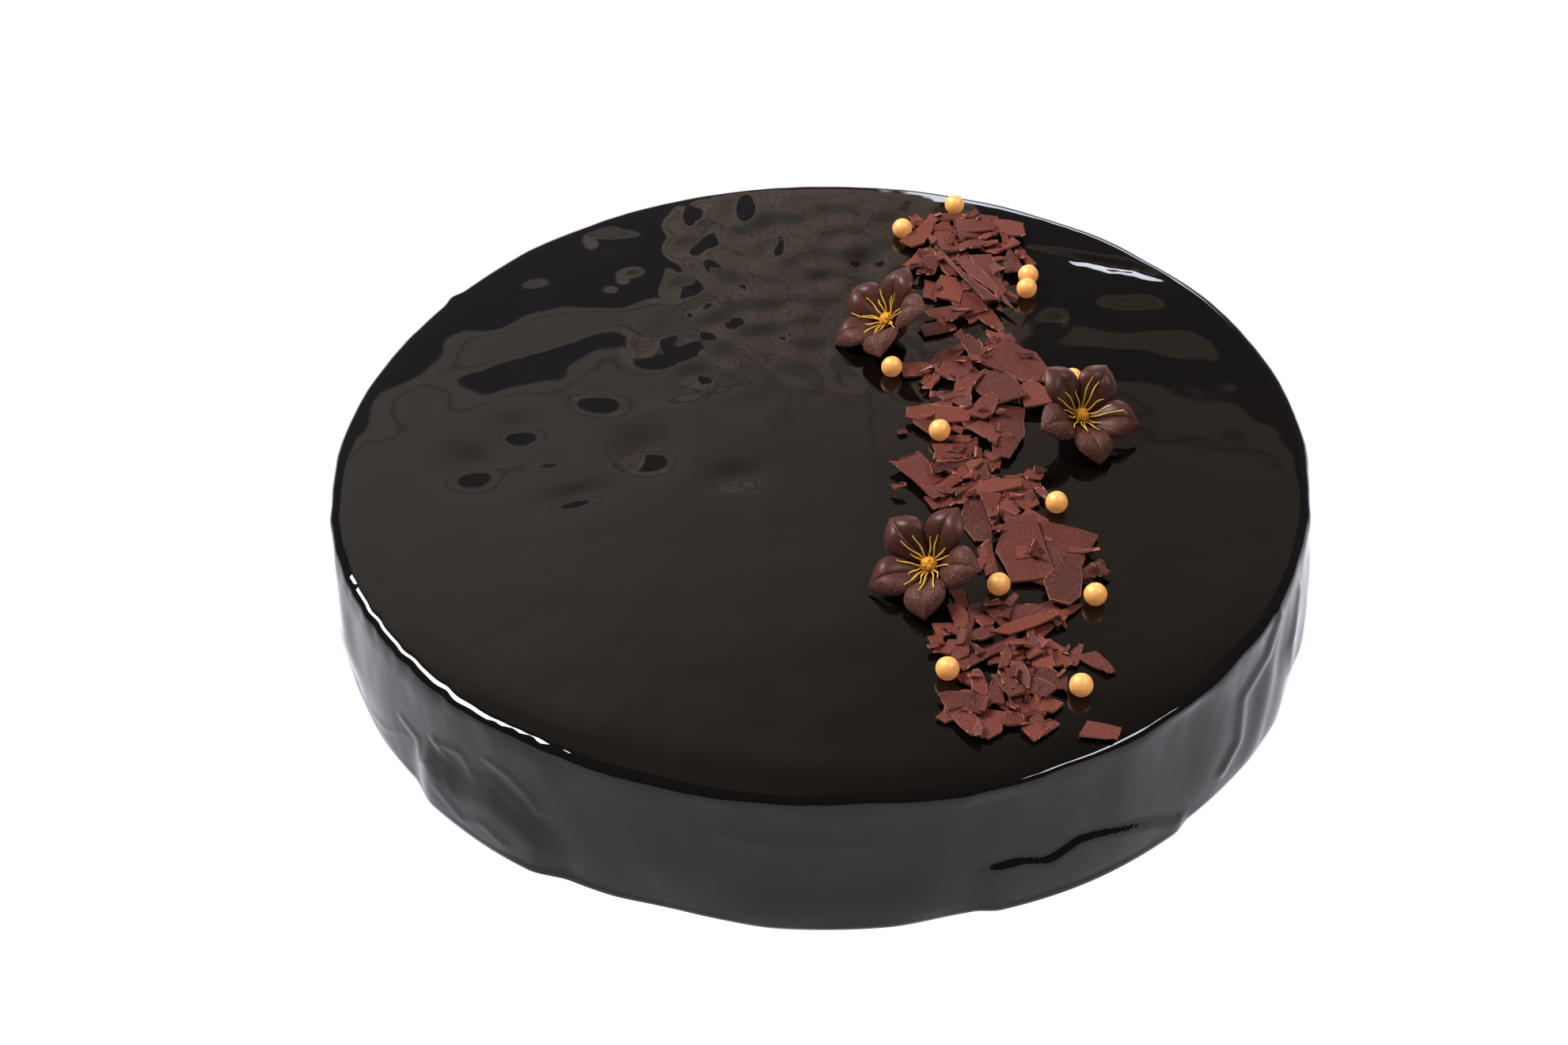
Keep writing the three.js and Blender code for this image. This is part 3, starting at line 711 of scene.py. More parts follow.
# %% Where the shards lie
# x, y, layer, long, wide, turn and taper of each shard.
HEAPS = {
    "shards_back": [
        (56, 102.7, 1, 10.5, 8.5, -10, 0.1),
        (46, 102.5, 2, 12, 6, -8, 0.2),
        (45, 99.5, 1, 11, 4.5, -5, 0.2),
        (30.6, 99.3, 1, 13, 6.5, 50, 0.1),
        (33, 106, 1, 6, 4.5, 60, 0.3),
        (39.5, 108.5, 1, 9, 4.5, 0, 0.2),
        (47, 107.3, 0, 8, 4.5, -20, 0.4),
        (29, 106.5, 0, 5.5, 4.2, 30, 0.3),
        (47, 94.5, 1, 8.5, 5.5, 10, 0.1),
        (54, 93, 1, 10, 6.5, 30, 0.3),
        (56, 86, 1, 14, 6, 97, 0.9),
        (60, 88.5, 0, 9.5, 3.5, -62, 0.4),
        (48.3, 80, 1, 19, 8.5, -86, 0.1),
        (41.3, 76.3, 3, 32, 5.5, 118, 0.85),
        (48, 72, 2, 30, 4, -59, 0.8),
        (37, 71, 1, 11.5, 9, 75, 0.2),
        (31.5, 72, 0, 8.5, 5, 80, 0.2),
        (38.5, 61, 1, 17, 5.5, 18, 0.2),
        (47.8, 58.5, 0, 13.5, 5, -62, 0.3),
        (33, 54.3, 0, 9.5, 5, 15, 0.3),
        (54, 69.5, 1, 6, 2.2, -30, 0.1),
        (39, 91, 2, 8, 3.5, 20, 0.2),
        (31, 82, 2, 7, 5.5, 80, 0.1),
        (28.5, 87, 1, 9.5, 4, 60, 0.3),
        (33, 88, 2, 9.5, 3.5, 50, 0.5),
        (37.5, 100, 0, 10, 8, 85, 0),
        (36.5, 84, 1, 12, 4.5, -75, 0.3),
        (41, 87, 0, 10, 8, -70, 0),
        (44.5, 73.5, 0, 9.5, 5.5, -50, 0.2),
    ],
    "shards_middle": [
        (56, 36, 1, 21, 15, -35, 0.15),
        (57.8, 22, 2, 12.5, 7.5, -85, 0.1),
        (49.5, 6.5, 1, 22, 9, -92, 0.15),
        (47.5, 25.5, 2, 16, 12, -62, 0.15),
        (39, 26, 2, 14, 6, 62, 0.2),
        (44.5, 15.5, 3, 12, 6, 70, 0.1),
        (38.5, 17.5, 3, 7, 6.5, -70, 0.8),
        (31.5, 13.5, 2, 17.5, 5.5, -8, 0.1),
        (27.5, 10, 1, 11, 6, -40, 0.4),
        (44.5, 5, 2, 10.5, 7.5, -50, 0.3),
        (42.5, 10.5, 1, 9.5, 2.4, 25, 0.1),
        (27.3, 35.6, 0, 10, 6, 15, 0.1),
        (30.6, 29.5, 1, 10, 2.2, 65, 0.3),
        (36.5, 35.5, 1, 11.5, 6.5, 65, 0.2),
        (36.3, 43, 0, 11, 7, 55, 0.3),
        (42.5, 44, 1, 11, 5.5, -72, 0.2),
        (43, 37.5, 2, 5.5, 4.5, 20, 0.2),
        (49.5, 49, 0, 9.5, 3.5, 12, 0.1),
        (50, 45.5, 1, 9, 3.2, 20, 0.2),
        (46.5, 41, 0, 9, 5, -80, 0.1),
        (34.5, 20.5, 0, 9, 5, 50, 0.2),
        (46, 14, 0, 10, 8, -80, 0),
        (38, 11, 0, 9, 6, 0, 0),
    ],
    "shards_inner": [
        (34.5, 0, 0, 9.5, 5.5, 5, 0.1),
        (39, -0.5, 1, 7, 5, 30, 0.3),
        (36.5, 4, 0, 6.5, 3.4, 10, 0.2),
        (34, -4, 1, 9.5, 2.6, -5, 0.2),
        (33.8, -8.5, 2, 12.5, 2.8, 22, 0.3),
        (26.6, -13, 1, 17.5, 9.5, -58, 0.2),
        (32, -16, 1, 8.5, 4.8, 45, 0.2),
        (37.5, -10, 1, 9.5, 5, 68, 0.3),
        (41, -10, 1, 9, 4.4, -82, 0.2),
        (44.3, -5.5, 0, 5.5, 4.2, -20, 0.2),
        (37.5, -16.5, 1, 9.5, 2.4, 40, 0.3),
        (44, -16.5, 1, 13.5, 6, 12, 0.2),
        (52, -14.5, 0, 9, 4.8, 0, 0.3),
        (55, -12, 1, 4.5, 3.8, -30, 0.2),
        (54, -20.5, 0, 7, 3.8, -68, 0.2),
        (31, -21, 0, 7.5, 4.8, 20, 0.2),
        (38.5, -28, 0, 18.5, 7, -86, 0.05),
        (43.3, -25.5, 1, 12.5, 5.5, -88, 0.8),
        (47, -24.5, 0, 12.5, 5, -100, 0.2),
        (50, -41.3, 1, 22.5, 14.5, -78, 0.2),
        (59.3, -43, 0, 23, 15, -112, 0.1),
        (59.5, -53.5, 2, 17.5, 14, 72, 0.7),
        (54.5, -28, 0, 7, 3.8, -30, 0.4),
        (41, -43.5, 0, 12, 4.4, -80, 0.2),
        (53, -44.5, 2, 5.5, 1.4, -38, 0.2),
        (67.5, -47, 0, 7, 1.8, 42, 0.2),
    ],
    "shards_front": [
        (33.8, -59, 0, 7, 3.8, -80, 0.1),
        (37.5, -63, 0, 6, 4.8, 20, 0.1),
        (33, -66.5, 1, 8, 4.6, -82, 0.3),
        (42.5, -67, 1, 8, 3, -58, 0.3),
        (49.2, -66, 1, 14.5, 12, 0, 0.8),
        (48.5, -70.5, 2, 18, 3.2, 27, 0.3),
        (57, -64.5, 0, 9.5, 6, -60, 0.8),
        (54, -68.5, 0, 11, 6, 75, 0.2),
        (29.5, -70, 0, 6.5, 4.8, 10, 0.2),
        (27, -75.5, 0, 6, 4, -80, 0.6),
        (37.5, -71.5, 0, 7, 4.4, 20, 0.1),
        (39, -79, 1, 18, 4.8, 30, 0.3),
        (33.2, -77.5, 1, 11, 5.5, 82, 0.6),
        (43.5, -81, 2, 9, 4.2, 85, 0.8),
        (47.5, -78, 0, 10, 8.5, -20, 0.2),
        (52.3, -81.5, 1, 8.5, 6, -84, 0.1),
        (56, -78.5, 0, 9.5, 5.5, -75, 0.1),
        (58, -79, 0, 4.6, 3.4, 0, 0.1),
        (50.5, -76, 2, 6, 2.6, -60, 0.2),
        (54, -87.5, 1, 10.5, 5.5, -28, 0.2),
        (46.8, -87, 2, 10, 4.2, -74, 0.2),
        (43.5, -90.5, 2, 9.5, 5.5, -72, 0.4),
        (50, -91, 1, 9.5, 5.5, -38, 0.2),
        (36.3, -91, 2, 7.5, 3.8, 82, 0.1),
        (34.5, -86.5, 0, 6, 4, 30, 0.2),
        (40, -93, 1, 10, 5, 85, 0.4),
        (32.5, -95, 1, 10, 6, 15, 0.4),
        (29.5, -99, 0, 7, 4.8, 50, 0.4),
        (36, -97, 1, 10, 6.5, 60, 0.2),
        (33.2, -103, 1, 9, 5.5, -62, 0.5),
        (38.3, -102.5, 0, 10.5, 8, 70, 0.1),
        (43.5, -97.5, 0, 9.5, 3.6, -52, 0.2),
        (46.5, -96.5, 0, 8.5, 5, -75, 0.1),
        (51, -95.5, 0, 8, 5.5, -30, 0.1),
        (49.5, -101, 0, 6.5, 4.8, -80, 0.4),
    ],
    "shard_loose_side": [(65.6, -81.6, 0, 9, 5.5, -50, 0.6)],
    "shard_loose_front": [(64.2, -105, 0, 8.2, 5.3, -15, 0.2)],
    "shard_crumb": [(21.6, 7.6, 0, 2.6, 1.8, 20, 0.2)],
}
SHARD_THICKNESS = 1.15
LAYER_STEP = 1
print("shards in the heaps:", sum(len(rows) for rows in HEAPS.values()))

# %% [markdown]
# ### The outline of a flake
#
# Brittle chocolate breaks along nearly straight lines. A flake has four corners, each a little off its
# place. On most small flakes one corner is drawn in towards the middle, which makes the flake nearly a
# triangle. Some corners are cut across by a short break, and each side has a knock in it and a little
# raggedness.


# %% Broken outline
BROAD_SHARD = 6  # width from which a shard's solid has a fifth corner
BROAD_AREA = 120  # mm2, from which a flake is darker and keeps its corners, but for some that are cut
RAGGEDNESS = 0.07


def shard_corners(long, wide, taper, draw):
    """The broken outline of the solid: four corners, and a fifth on a broad one, each a little off."""
    near, far = wide / 2, wide / 2 * (1 - taper)
    corners = [(-long / 2, -near), (long / 2, -far), (long / 2, far), (-long / 2, near)]
    if wide >= BROAD_SHARD:
        corners.insert(3, (long * 0.1, near * 1.15))
    stray = 0.24 * min(wide, 8)
    placed = []
    for x, y in corners:
        off_x = stray * (draw() - 0.5)
        off_y = 0.7 * stray * (draw() - 0.5)
        placed.append(np.array((x + off_x, y + off_y)))
    return placed


def broken_side(a, b, cut_a, cut_b, ends, steps, chip):
    """Points along a side from a to b: the breaks across its corners and a knock, straight in between."""
    along = b - a
    across = np.array((-along[1], along[0]))
    half = (steps - 1) // 2
    first = min(max(1, round(cut_a * steps)), half)
    last = steps - min(max(1, round(cut_b * steps)), half)
    stops = [0, first, last, steps]
    corners = [ends[0], a + along * cut_a, b - along * cut_b, ends[1]]
    if last - first > 1:
        share = 0.35 + 0.3 * chip()
        knock = corners[1] + (corners[2] - corners[1]) * share + across * 0.1 * (chip() - 0.5)
        stops.insert(2, min(max(round(first + (last - first) * share), first + 1), last - 1))
        corners.insert(2, knock)
    line = [np.interp(range(steps + 1), stops, [corner[i] for corner in corners]) for i in (0, 1)]
    line = np.stack(line, axis=1)
    for i in range(1, steps):
        line[i] += across / max(np.linalg.norm(across), 1e-6) * RAGGEDNESS * (chip() - 0.5)
    return line


def broken_outline(corners, broad, along, across, chip):
    """The four sides of a flake as lines of points: bottom, top, left and right."""
    c = [corners[0], corners[1], corners[2], corners[-1]]
    often = 0.35 if broad else 0.15
    cuts = [0.2 + 0.3 * chip() if chip() < often else 0 for _ in c]
    if not broad:
        drawn_in = int(4 * chip())
        c[drawn_in] = c[drawn_in] * (1 - 0.5 * chip())
    middles = [c[k] + ((c[k - 1] - c[k]) + (c[(k + 1) % 4] - c[k])) * cuts[k] / 2 for k in range(4)]
    sides = []
    for first, last, steps in ((0, 1, along), (3, 2, along), (0, 3, across), (1, 2, across)):
        ends = (middles[first], middles[last])
        sides.append(broken_side(c[first], c[last], cuts[first], cuts[last], ends, steps, chip))
    return sides


# %% [markdown]
# ### One flake
#
# The grid is stretched between its four broken sides as a soap film would be, given a slight curl and
# twist, and laid in its heap with the tilt of its solid. Two numbers go with its vertices for the
# material: the tone of the whole flake, partly its own and partly painted shade for its tilt, and where
# it broke, whose paler colour is partly a painted highlight.

# %% One flake
FLAKE = 0.7  # thickness of the real flakes
CELL = 1.25  # size of the grid's cells
CHIP_SEEDS = 500  # from here on, so that the chips leave the draws of the solids alone


def shard_pose(row, draw):
    """The matrix that lays a shard in its heap as its solid lies, higher ones more askew, in mm."""
    x, y, layer, long, wide, turn, _ = row
    lift = 0.5 + 0.6 * layer
    pitch = math.atan(lift / long) * 2 * (draw() - 0.5)
    roll = math.atan(lift / wide) * 2.6 * (draw() - 0.5)
    turned = Matrix.Rotation(turn * DEGREE, 4, "Z") @ Matrix.Rotation(-pitch, 4, "Y")
    height = FLOOR + SHARD_THICKNESS / 2 + layer * LAYER_STEP
    return Matrix.Translation((x, y, height)) @ turned @ Matrix.Rotation(roll, 4, "X")


def stretched(sides, columns, rows, along, across):
    """Places of the grid's vertices between its four sides."""
    bottom, top, left, right = sides
    u, v = (columns / along)[:, None], (rows / across)[:, None]
    near, far = (1 - u) * bottom[0] + u * bottom[-1], (1 - u) * top[0] + u * top[-1]
    between_rows = (1 - v) * bottom[columns] + v * top[columns]
    between_columns = (1 - u) * left[rows] + u * right[rows]
    return between_rows + between_columns - (1 - v) * near - v * far


def shard(row, seed):
    """One flake as a grid drawn to its broken outline and laid in its place, ready to be thickened."""
    long, wide, taper = row[3], row[4], row[6]
    draw, chip = random_stream(seed), random_stream(seed + CHIP_SEEDS)
    corners = shard_corners(long, wide, taper, draw)
    pose = np.array(shard_pose(row, draw))
    along, across = max(3, round(long / CELL)), max(3, round(wide / CELL))
    broad = long * wide > BROAD_AREA
    sides = broken_outline(corners, broad, along, across, chip)
    cells = {"x_subdivisions": along, "y_subdivisions": across}
    flake = start("shard", bpy.ops.mesh.primitive_grid_add, size=2, **cells)
    grid = places(flake) * MM  # runs from -1 to 1
    columns = np.rint((grid[:, 0] + 1) / 2 * along).astype(int)
    rows = np.rint((grid[:, 1] + 1) / 2 * across).astype(int)
    patch = stretched(sides, columns, rows, along, across)
    curl, twist = 0.01 * (chip() - 0.3), 0.012 * (chip() - 0.5)
    height = curl * (patch[:, 0] ** 2 - long**2 / 12) + twist * patch[:, 0] * patch[:, 1]
    laid = (np.column_stack([patch, height, np.ones(len(height))]) @ pose.T)[:, :3]
    laid[:, 2] += max(0, CAKE_HEIGHT + AIR + FLAKE / 2 - laid[:, 2].min())
    move_to(flake, laid)
    # The tone is partly painted shade, standing in for the different light on each tilted flake.
    note(flake, "tone", [0.55 * chip() if broad else 0.15 + 0.85 * chip()] * len(laid))
    note(flake, "broken", (columns % along == 0) | (rows % across == 0))
    return flake


# %% [markdown]
# ### Splinters
#
# Where chocolate breaks, splinters fall too. Each flake of a heap gets a small one on top of it and a
# larger piece beneath, at random places near it that keep clear of the flowers and the pearls.

# %% Splinters
FLOWER_CLEARANCE = 16


def splinters(rows, seed):
    """Rows for what broke off the flakes of a heap."""
    draw = random_stream(seed)
    made = []
    for x, y, layer, long, _, turn, _ in rows:
        for size, lifted in ((2.2 + 3 * draw(), layer + 0.9), (5 + 3.5 * draw(), max(0, layer - 0.6))):
            place = (x + (draw() - 0.5) * long * 0.9, y + (draw() - 0.5) * long * 0.9)
            shape = (size, size * (0.45 + 0.35 * draw()), turn + 180 * draw(), 0.2 + 0.75 * draw())
            from_flowers = min(math.dist(place, flower[:2]) for flower in FLOWERS)
            from_pearls = min(math.dist(place, spot) for spot in PEARLS)
            if from_flowers > FLOWER_CLEARANCE and from_pearls > PEARL_DIAMETER / 2 + size * 0.6:
                made.append((*place, lifted, *shape))
    return made


# %% [markdown]
# ### Broken chocolate
#
# The flakes are plain chocolate, a red brown whose tone differs at random from flake to flake, partly
# its own and partly painted shade for the light that falls differently on each tilted flake. Rubbed
# against each other they are dull, with a fine dust of bloom on top. Their broken edges are paler: partly
# the rough break's own colour, which scatters more light, and partly a painted highlight for the light
# that the edges catch. The real dust is finer than a tenth of a millimetre and wouldn't show, so it is
# drawn three times as coarse.

# %% Shard material
BLOOM_GRAIN = 0.32


def broken_chocolate():
    material, tree, shader, coordinates = new_material("broken_chocolate")
    tone = node(tree, "ShaderNodeAttribute", {"attribute_name": "tone"}).outputs["Fac"]
    # The flake's tone picks its red brown: partly its own colour, partly painted shade for its tilt.
    colours = {"data_type": "RGBA", 6: linear("#3e1a14"), 7: linear("#703427")}
    base = node(tree, "ShaderNodeMix", colours, {0: tone}).outputs[2]

    noise = {"Scale": per_metre(BLOOM_GRAIN), "Detail": 2}
    grain = node(tree, "ShaderNodeTexNoise", noise, {"Vector": coordinates}).outputs["Fac"]
    dust = {"From Min": 0.54, "From Max": 0.72, "To Max": 0.8}
    bloom = node(tree, "ShaderNodeMapRange", dust, {"Value": grain}).outputs["Result"]
    pale_dust = {"data_type": "RGBA", 7: linear("#8f5042")}
    dusty = node(tree, "ShaderNodeMix", pale_dust, {0: bloom, 6: base}).outputs[2]

    # Paler broken edges: partly the break's own colour, partly a painted highlight for the light the edges
    # catch.
    broken = node(tree, "ShaderNodeAttribute", {"attribute_name": "broken"}).outputs["Fac"]
    at_the_edge = {"From Min": 0.72, "From Max": 0.9, "To Max": 1}
    edge = node(tree, "ShaderNodeMapRange", at_the_edge, {"Value": broken}).outputs["Result"]
    pale_break_and_highlight = {"data_type": "RGBA", 7: linear("#a46a58")}
    paler = node(tree, "ShaderNodeMix", pale_break_and_highlight, {0: edge, 6: dusty}).outputs[2]
    tree.links.new(paler, shader.inputs["Base Color"])
    shader.inputs["Roughness"].default_value = 0.6
    shader.inputs["Specular IOR Level"].default_value = 0.2
    bump = node(tree, "ShaderNodeBump", {"Strength": 0.6, "Distance": 0.05 * MM}, {"Height": grain})
    tree.links.new(bump.outputs["Normal"], shader.inputs["Normal"])
    return material


chocolate_flakes = broken_chocolate()
print("material:", chocolate_flakes.name)

# %% [markdown]
# ### The heaps
#
# All flakes of a heap are joined, then thickened and bevelled together, and shaded so that only their
# broken edges stay sharp. A heap takes the place of its solids: the frame holds one or a few for each,
# where groups lie apart.

# %% Lay the heaps
BEVEL_WIDTH = 0.07
SHARP_EDGE = 50  # degrees, from which an edge is bevelled
SMOOTH_UNDER = 22  # degrees, up to which neighbouring faces are shaded as one
HEAP_SEEDS, SPLINTER_SEEDS = 900, 2000  # for where splinters fall, and for their shapes

next_seed = 1  # each shard has the seed of its solid, which is its number in the table
for heap, rows in HEAPS.items():
    flakes = [shard(row, next_seed + i) for i, row in enumerate(rows)]
    if len(rows) > 1:
        small = splinters(rows, HEAP_SEEDS + next_seed)
        flakes += [shard(row, SPLINTER_SEEDS + next_seed + i) for i, row in enumerate(small)]
    next_seed += len(rows)
    pile = join(flakes, heap + "_flakes")
    modify(pile, "SOLIDIFY", thickness=FLAKE * MM, offset=0)
    bevel = {"width": BEVEL_WIDTH * MM, "limit_method": "ANGLE", "angle_limit": SHARP_EDGE * DEGREE}
    modify(pile, "BEVEL", segments=1, **bevel)
    outward(pile)
    smooth(pile, SMOOTH_UNDER)
    nodes = [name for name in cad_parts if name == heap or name.startswith(heap + "_")]
    give(pile, chocolate_flakes, "shard_chocolate", *nodes)
    print(pile.name, len(flakes), "flakes,", len(pile.data.polygons), "faces, for", nodes)

# %% [markdown]
# ## Gold pearls
#
# Sugar pearls are tumbled in gold lustre dust: almost round, with a grained skin that glows rather than
# mirrors. Solid metal would look like a ball bearing. So the pearl is sugar that lets light in a little
# way, by subsurface, under a skin that is only one fifth metal. A faint warm glow of its own is painted
# light: it lifts the pearl's shaded side, standing in for light bounced between the gold dust grains.

# %% Gold lustre
LUSTRE_GRAIN = 0.45  # coarser than the real dust, which wouldn't show
LIGHT_REACH = 2.5  # how far light runs in the sugar


def gold_lustre_sugar():
    material, tree, shader, coordinates = new_material("gold_lustre_sugar")
    noise = {"Scale": per_metre(LUSTRE_GRAIN), "Detail": 3}
    dust = node(tree, "ShaderNodeTexNoise", noise, {"Vector": coordinates}).outputs["Fac"]
    colours = {"data_type": "RGBA", 6: linear("#f3a246"), 7: linear("#ffd080")}
    tone = node(tree, "ShaderNodeMix", colours, {0: dust}).outputs[2]
    tree.links.new(tone, shader.inputs["Base Color"])
    shader.inputs["Metallic"].default_value = 0.2
    shader.inputs["Roughness"].default_value = 0.46
    # Painted light: a faint warm glow that lifts the pearl's shaded side.
    shader.inputs["Emission Color"].default_value = (1, 0.38, 0.12, 1)
    shader.inputs["Emission Strength"].default_value = 0.22
    shader.inputs["Subsurface Weight"].default_value = 0.5
    shader.inputs["Subsurface Radius"].default_value = (1, 0.45, 0.15)
    shader.inputs["Subsurface Scale"].default_value = LIGHT_REACH * MM
    shader.inputs["IOR"].default_value = 1.5
    bump = node(tree, "ShaderNodeBump", {"Strength": 0.8, "Distance": 0.05 * MM}, {"Height": dust})
    tree.links.new(bump.outputs["Normal"], shader.inputs["Normal"])
    return material


gold = gold_lustre_sugar()
print("material:", gold.name)

# %% [markdown]
# A pearl starts as a sphere. Tumbling leaves it slightly lumpy, by half a percent of its size, and it
# sinks a tenth of a millimetre into the glaze.

# %% Pearls
PEARL_LUMPS = 0.005
PEARL_SINKS = 0.1


def pearl(number, x, y):
    """One pearl, with lumps of its own, at its place on the glaze."""
    name = "sugar_pearl_%d" % number
    ball = start(name, bpy.ops.mesh.primitive_uv_sphere_add, segments=40, ring_count=24, radius=1 * MM)
    unit = places(ball)
    lumps = 1 + PEARL_LUMPS * ripples(unit, 1.1, 20 + number)
    size = PEARL_DIAMETER / 2
    move_to(ball, unit * lumps[:, None] * size + (x, y, CAKE_HEIGHT + size - PEARL_SINKS))
    smooth(ball)
    return ball


for number, (x, y) in enumerate(PEARLS, 1):
    give(pearl(number, x, y), gold, "gold_pearl", "pearl_%d" % number)
print("pearls laid:", len(PEARLS))

# %% [markdown]
# ## Moulded flowers
#
# The flowers are cast in a mould: five pointed petals, each puffed up in two lobes beside a crease,
# around a deep throat. Petals could be made one by one and joined, but then the valleys between them
# would need a seam. One closed form does without: a sphere, whose upper three fifths become the crown
# of petals, and whose rest becomes their underside and the foot. Each vertex is moved by its direction
# round the axis and its depth from the pole.

# %% Sizes of a flower
PETALS = 5
PETAL_REACH = 15.9
CREST_RISE = 2.2
THROAT_DEPTH = 5.2
FLOWER_DEPTH = 9
FLOWER_FOOT_RADIUS = 3.4
SIDE_DROP = 2.4  # how far a petal's sides hang below its midrib
PETAL_WALL = 2.2
CREST_AT = 0.7  # where a petal is highest, as a share of its reach
CROWN_SHARE = 0.62  # share of the sphere's rings, from the throat down, that form the crown
print("a flower is %.1f mm across and has %d petals" % (2 * PETAL_REACH, PETALS))


# %% Form of the petals
def petal_outline(aside):
    """Reach of the petals from the midrib (aside 0, a point) to the notch between two petals (aside 1)."""
    return 1 - 0.27 * aside**0.76 - 0.16 * aside**5


def midrib_height(reach):
    """Height of a petal along its midrib, over the plane of the tips."""
    beyond = CREST_RISE * (1 - ((reach - CREST_AT) / (1 - CREST_AT)) ** 2)
    climb = np.sin(np.clip(reach / CREST_AT, 0, 1) * np.pi / 2) ** 2
    return np.where(reach > CREST_AT, beyond, -THROAT_DEPTH + (THROAT_DEPTH + CREST_RISE) * climb)


def petal_height(aside, share):
    """Height of a petal without its lobes: its midrib, and sides that hang towards the tips."""
    return midrib_height(share * petal_outline(aside)) - SIDE_DROP * aside**0.8 * share**5


def crown_height(aside, share):
    """Height of the crown: petals with two lobes beside a fine crease, and valleys between them."""
    lobes = 0.55 * np.sin(np.pi * np.clip(aside * 1.35, 0, 1)) * np.sin(np.pi * share) ** 0.8
    crease = 0.34 * np.exp(-((aside / 0.05) ** 2)) * ramp(0.2, 0.5, share) * ramp(1, 0.8, share)
    valley = 1.5 * aside**10 * np.sin(np.pi * share**0.8)
    return petal_height(aside, share) + lobes - crease - valley


# %% Body of a flower
def flower_form(angle, depth):
    """Radius and height at an angle round the axis and a depth from the throat (0) to the foot (1)."""
    aside = np.abs((angle / (360 / PETALS) + 0.5) % 1 - 0.5) * 2
    share = np.clip(depth / CROWN_SHARE, 0, 1)
    below = np.clip((depth - CROWN_SHARE) / (1 - CROWN_SHARE), 0, 1)
    under_share = 1 - 0.55 * ramp(0, 0.7, below)
    under = petal_height(aside, under_share) - PETAL_WALL * ramp(0, 0.3, below)
    foot = ramp(0.55, 0.95, below)
    radius = np.where(depth <= CROWN_SHARE, share, under_share) * petal_outline(aside) * PETAL_REACH
    radius = radius * (1 - foot) + FLOWER_FOOT_RADIUS * foot * ramp(1, 0.93, below)
    underside = under * (1 - foot) - FLOWER_DEPTH * foot
    return radius, np.where(depth <= CROWN_SHARE, crown_height(aside, share), underside)


def flower_body(name):
    """A sphere drawn into the form of a flower, upright at the middle."""
    body = start(name, bpy.ops.mesh.primitive_uv_sphere_add, segments=240, ring_count=56, radius=1 * MM)
    unit = places(body)
    depth = np.degrees(np.arccos(np.clip(unit[:, 2], -1, 1))) / 180
    angle = np.degrees(np.arctan2(unit[:, 1], unit[:, 0])) % 360
    radius, height = flower_form(angle, depth)
    x, y = radius * np.cos(angle * DEGREE), radius * np.sin(angle * DEGREE)
    move_to(body, np.stack([x, y, height], axis=1))
    return body


# %% [markdown]
# ### Satin dark chocolate
#
# Chocolate from a mould is a smooth, satin dark brown. On the petals that face the front a dust of
# bloom dulls it, in specks that are drawn three times as coarse as the real ones so that they show. A
# number on each vertex says how much of it a place has.

# %% Flower material
CLOUD_OF_TONE = 6  # how far apart the slightly lighter places are


def satin_dark_chocolate():
    material, tree, shader, coordinates = new_material("satin_dark_chocolate")
    frost = node(tree, "ShaderNodeAttribute", {"attribute_name": "frost"}).outputs["Fac"]
    noise = {"Scale": per_metre(CLOUD_OF_TONE), "Detail": 3}
    cloud = node(tree, "ShaderNodeTexNoise", noise, {"Vector": coordinates}).outputs["Fac"]
    colours = {"data_type": "RGBA", 6: linear("#45241d"), 7: linear("#542e25")}
    tone = node(tree, "ShaderNodeMix", colours, {0: cloud}).outputs[2]

    noise = {"Scale": per_metre(BLOOM_GRAIN), "Detail": 2}
    grain = node(tree, "ShaderNodeTexNoise", noise, {"Vector": coordinates}).outputs["Fac"]
    dust = {"From Min": 0.56, "From Max": 0.74}
    specks = node(tree, "ShaderNodeMapRange", dust, {"Value": grain}).outputs["Result"]
    share = node(tree, "ShaderNodeMath", {"operation": "MULTIPLY"}, {0: frost, 1: specks}).outputs[0]
    pale_dust = {"data_type": "RGBA", 7: linear("#a8745e")}
    dusted = node(tree, "ShaderNodeMix", pale_dust, {0: share, 6: tone}).outputs[2]
    tree.links.new(dusted, shader.inputs["Base Color"])

    gloss = node(tree, "ShaderNodeMapRange", {"To Min": 0.4, "To Max": 0.62}, {"Value": frost})
    tree.links.new(gloss.outputs["Result"], shader.inputs["Roughness"])
    shader.inputs["IOR"].default_value = 1.42
    shader.inputs["Specular IOR Level"].default_value = 0.32
    bump = node(tree, "ShaderNodeBump", {"Distance": 0.08 * MM}, {"Height": grain, "Strength": frost})
    tree.links.new(bump.outputs["Normal"], shader.inputs["Normal"])
    return material


satin = satin_dark_chocolate()
print("material:", satin.name)

# %% [markdown]
# ### Yellow sugar
#
# The heart of a flower is coloured sugar paste: matte and grained, ochre in the head and a paler yellow
# towards the tips of the filaments, where it is thin.

# %% Stamen material
SUGAR_GRAIN = 0.4


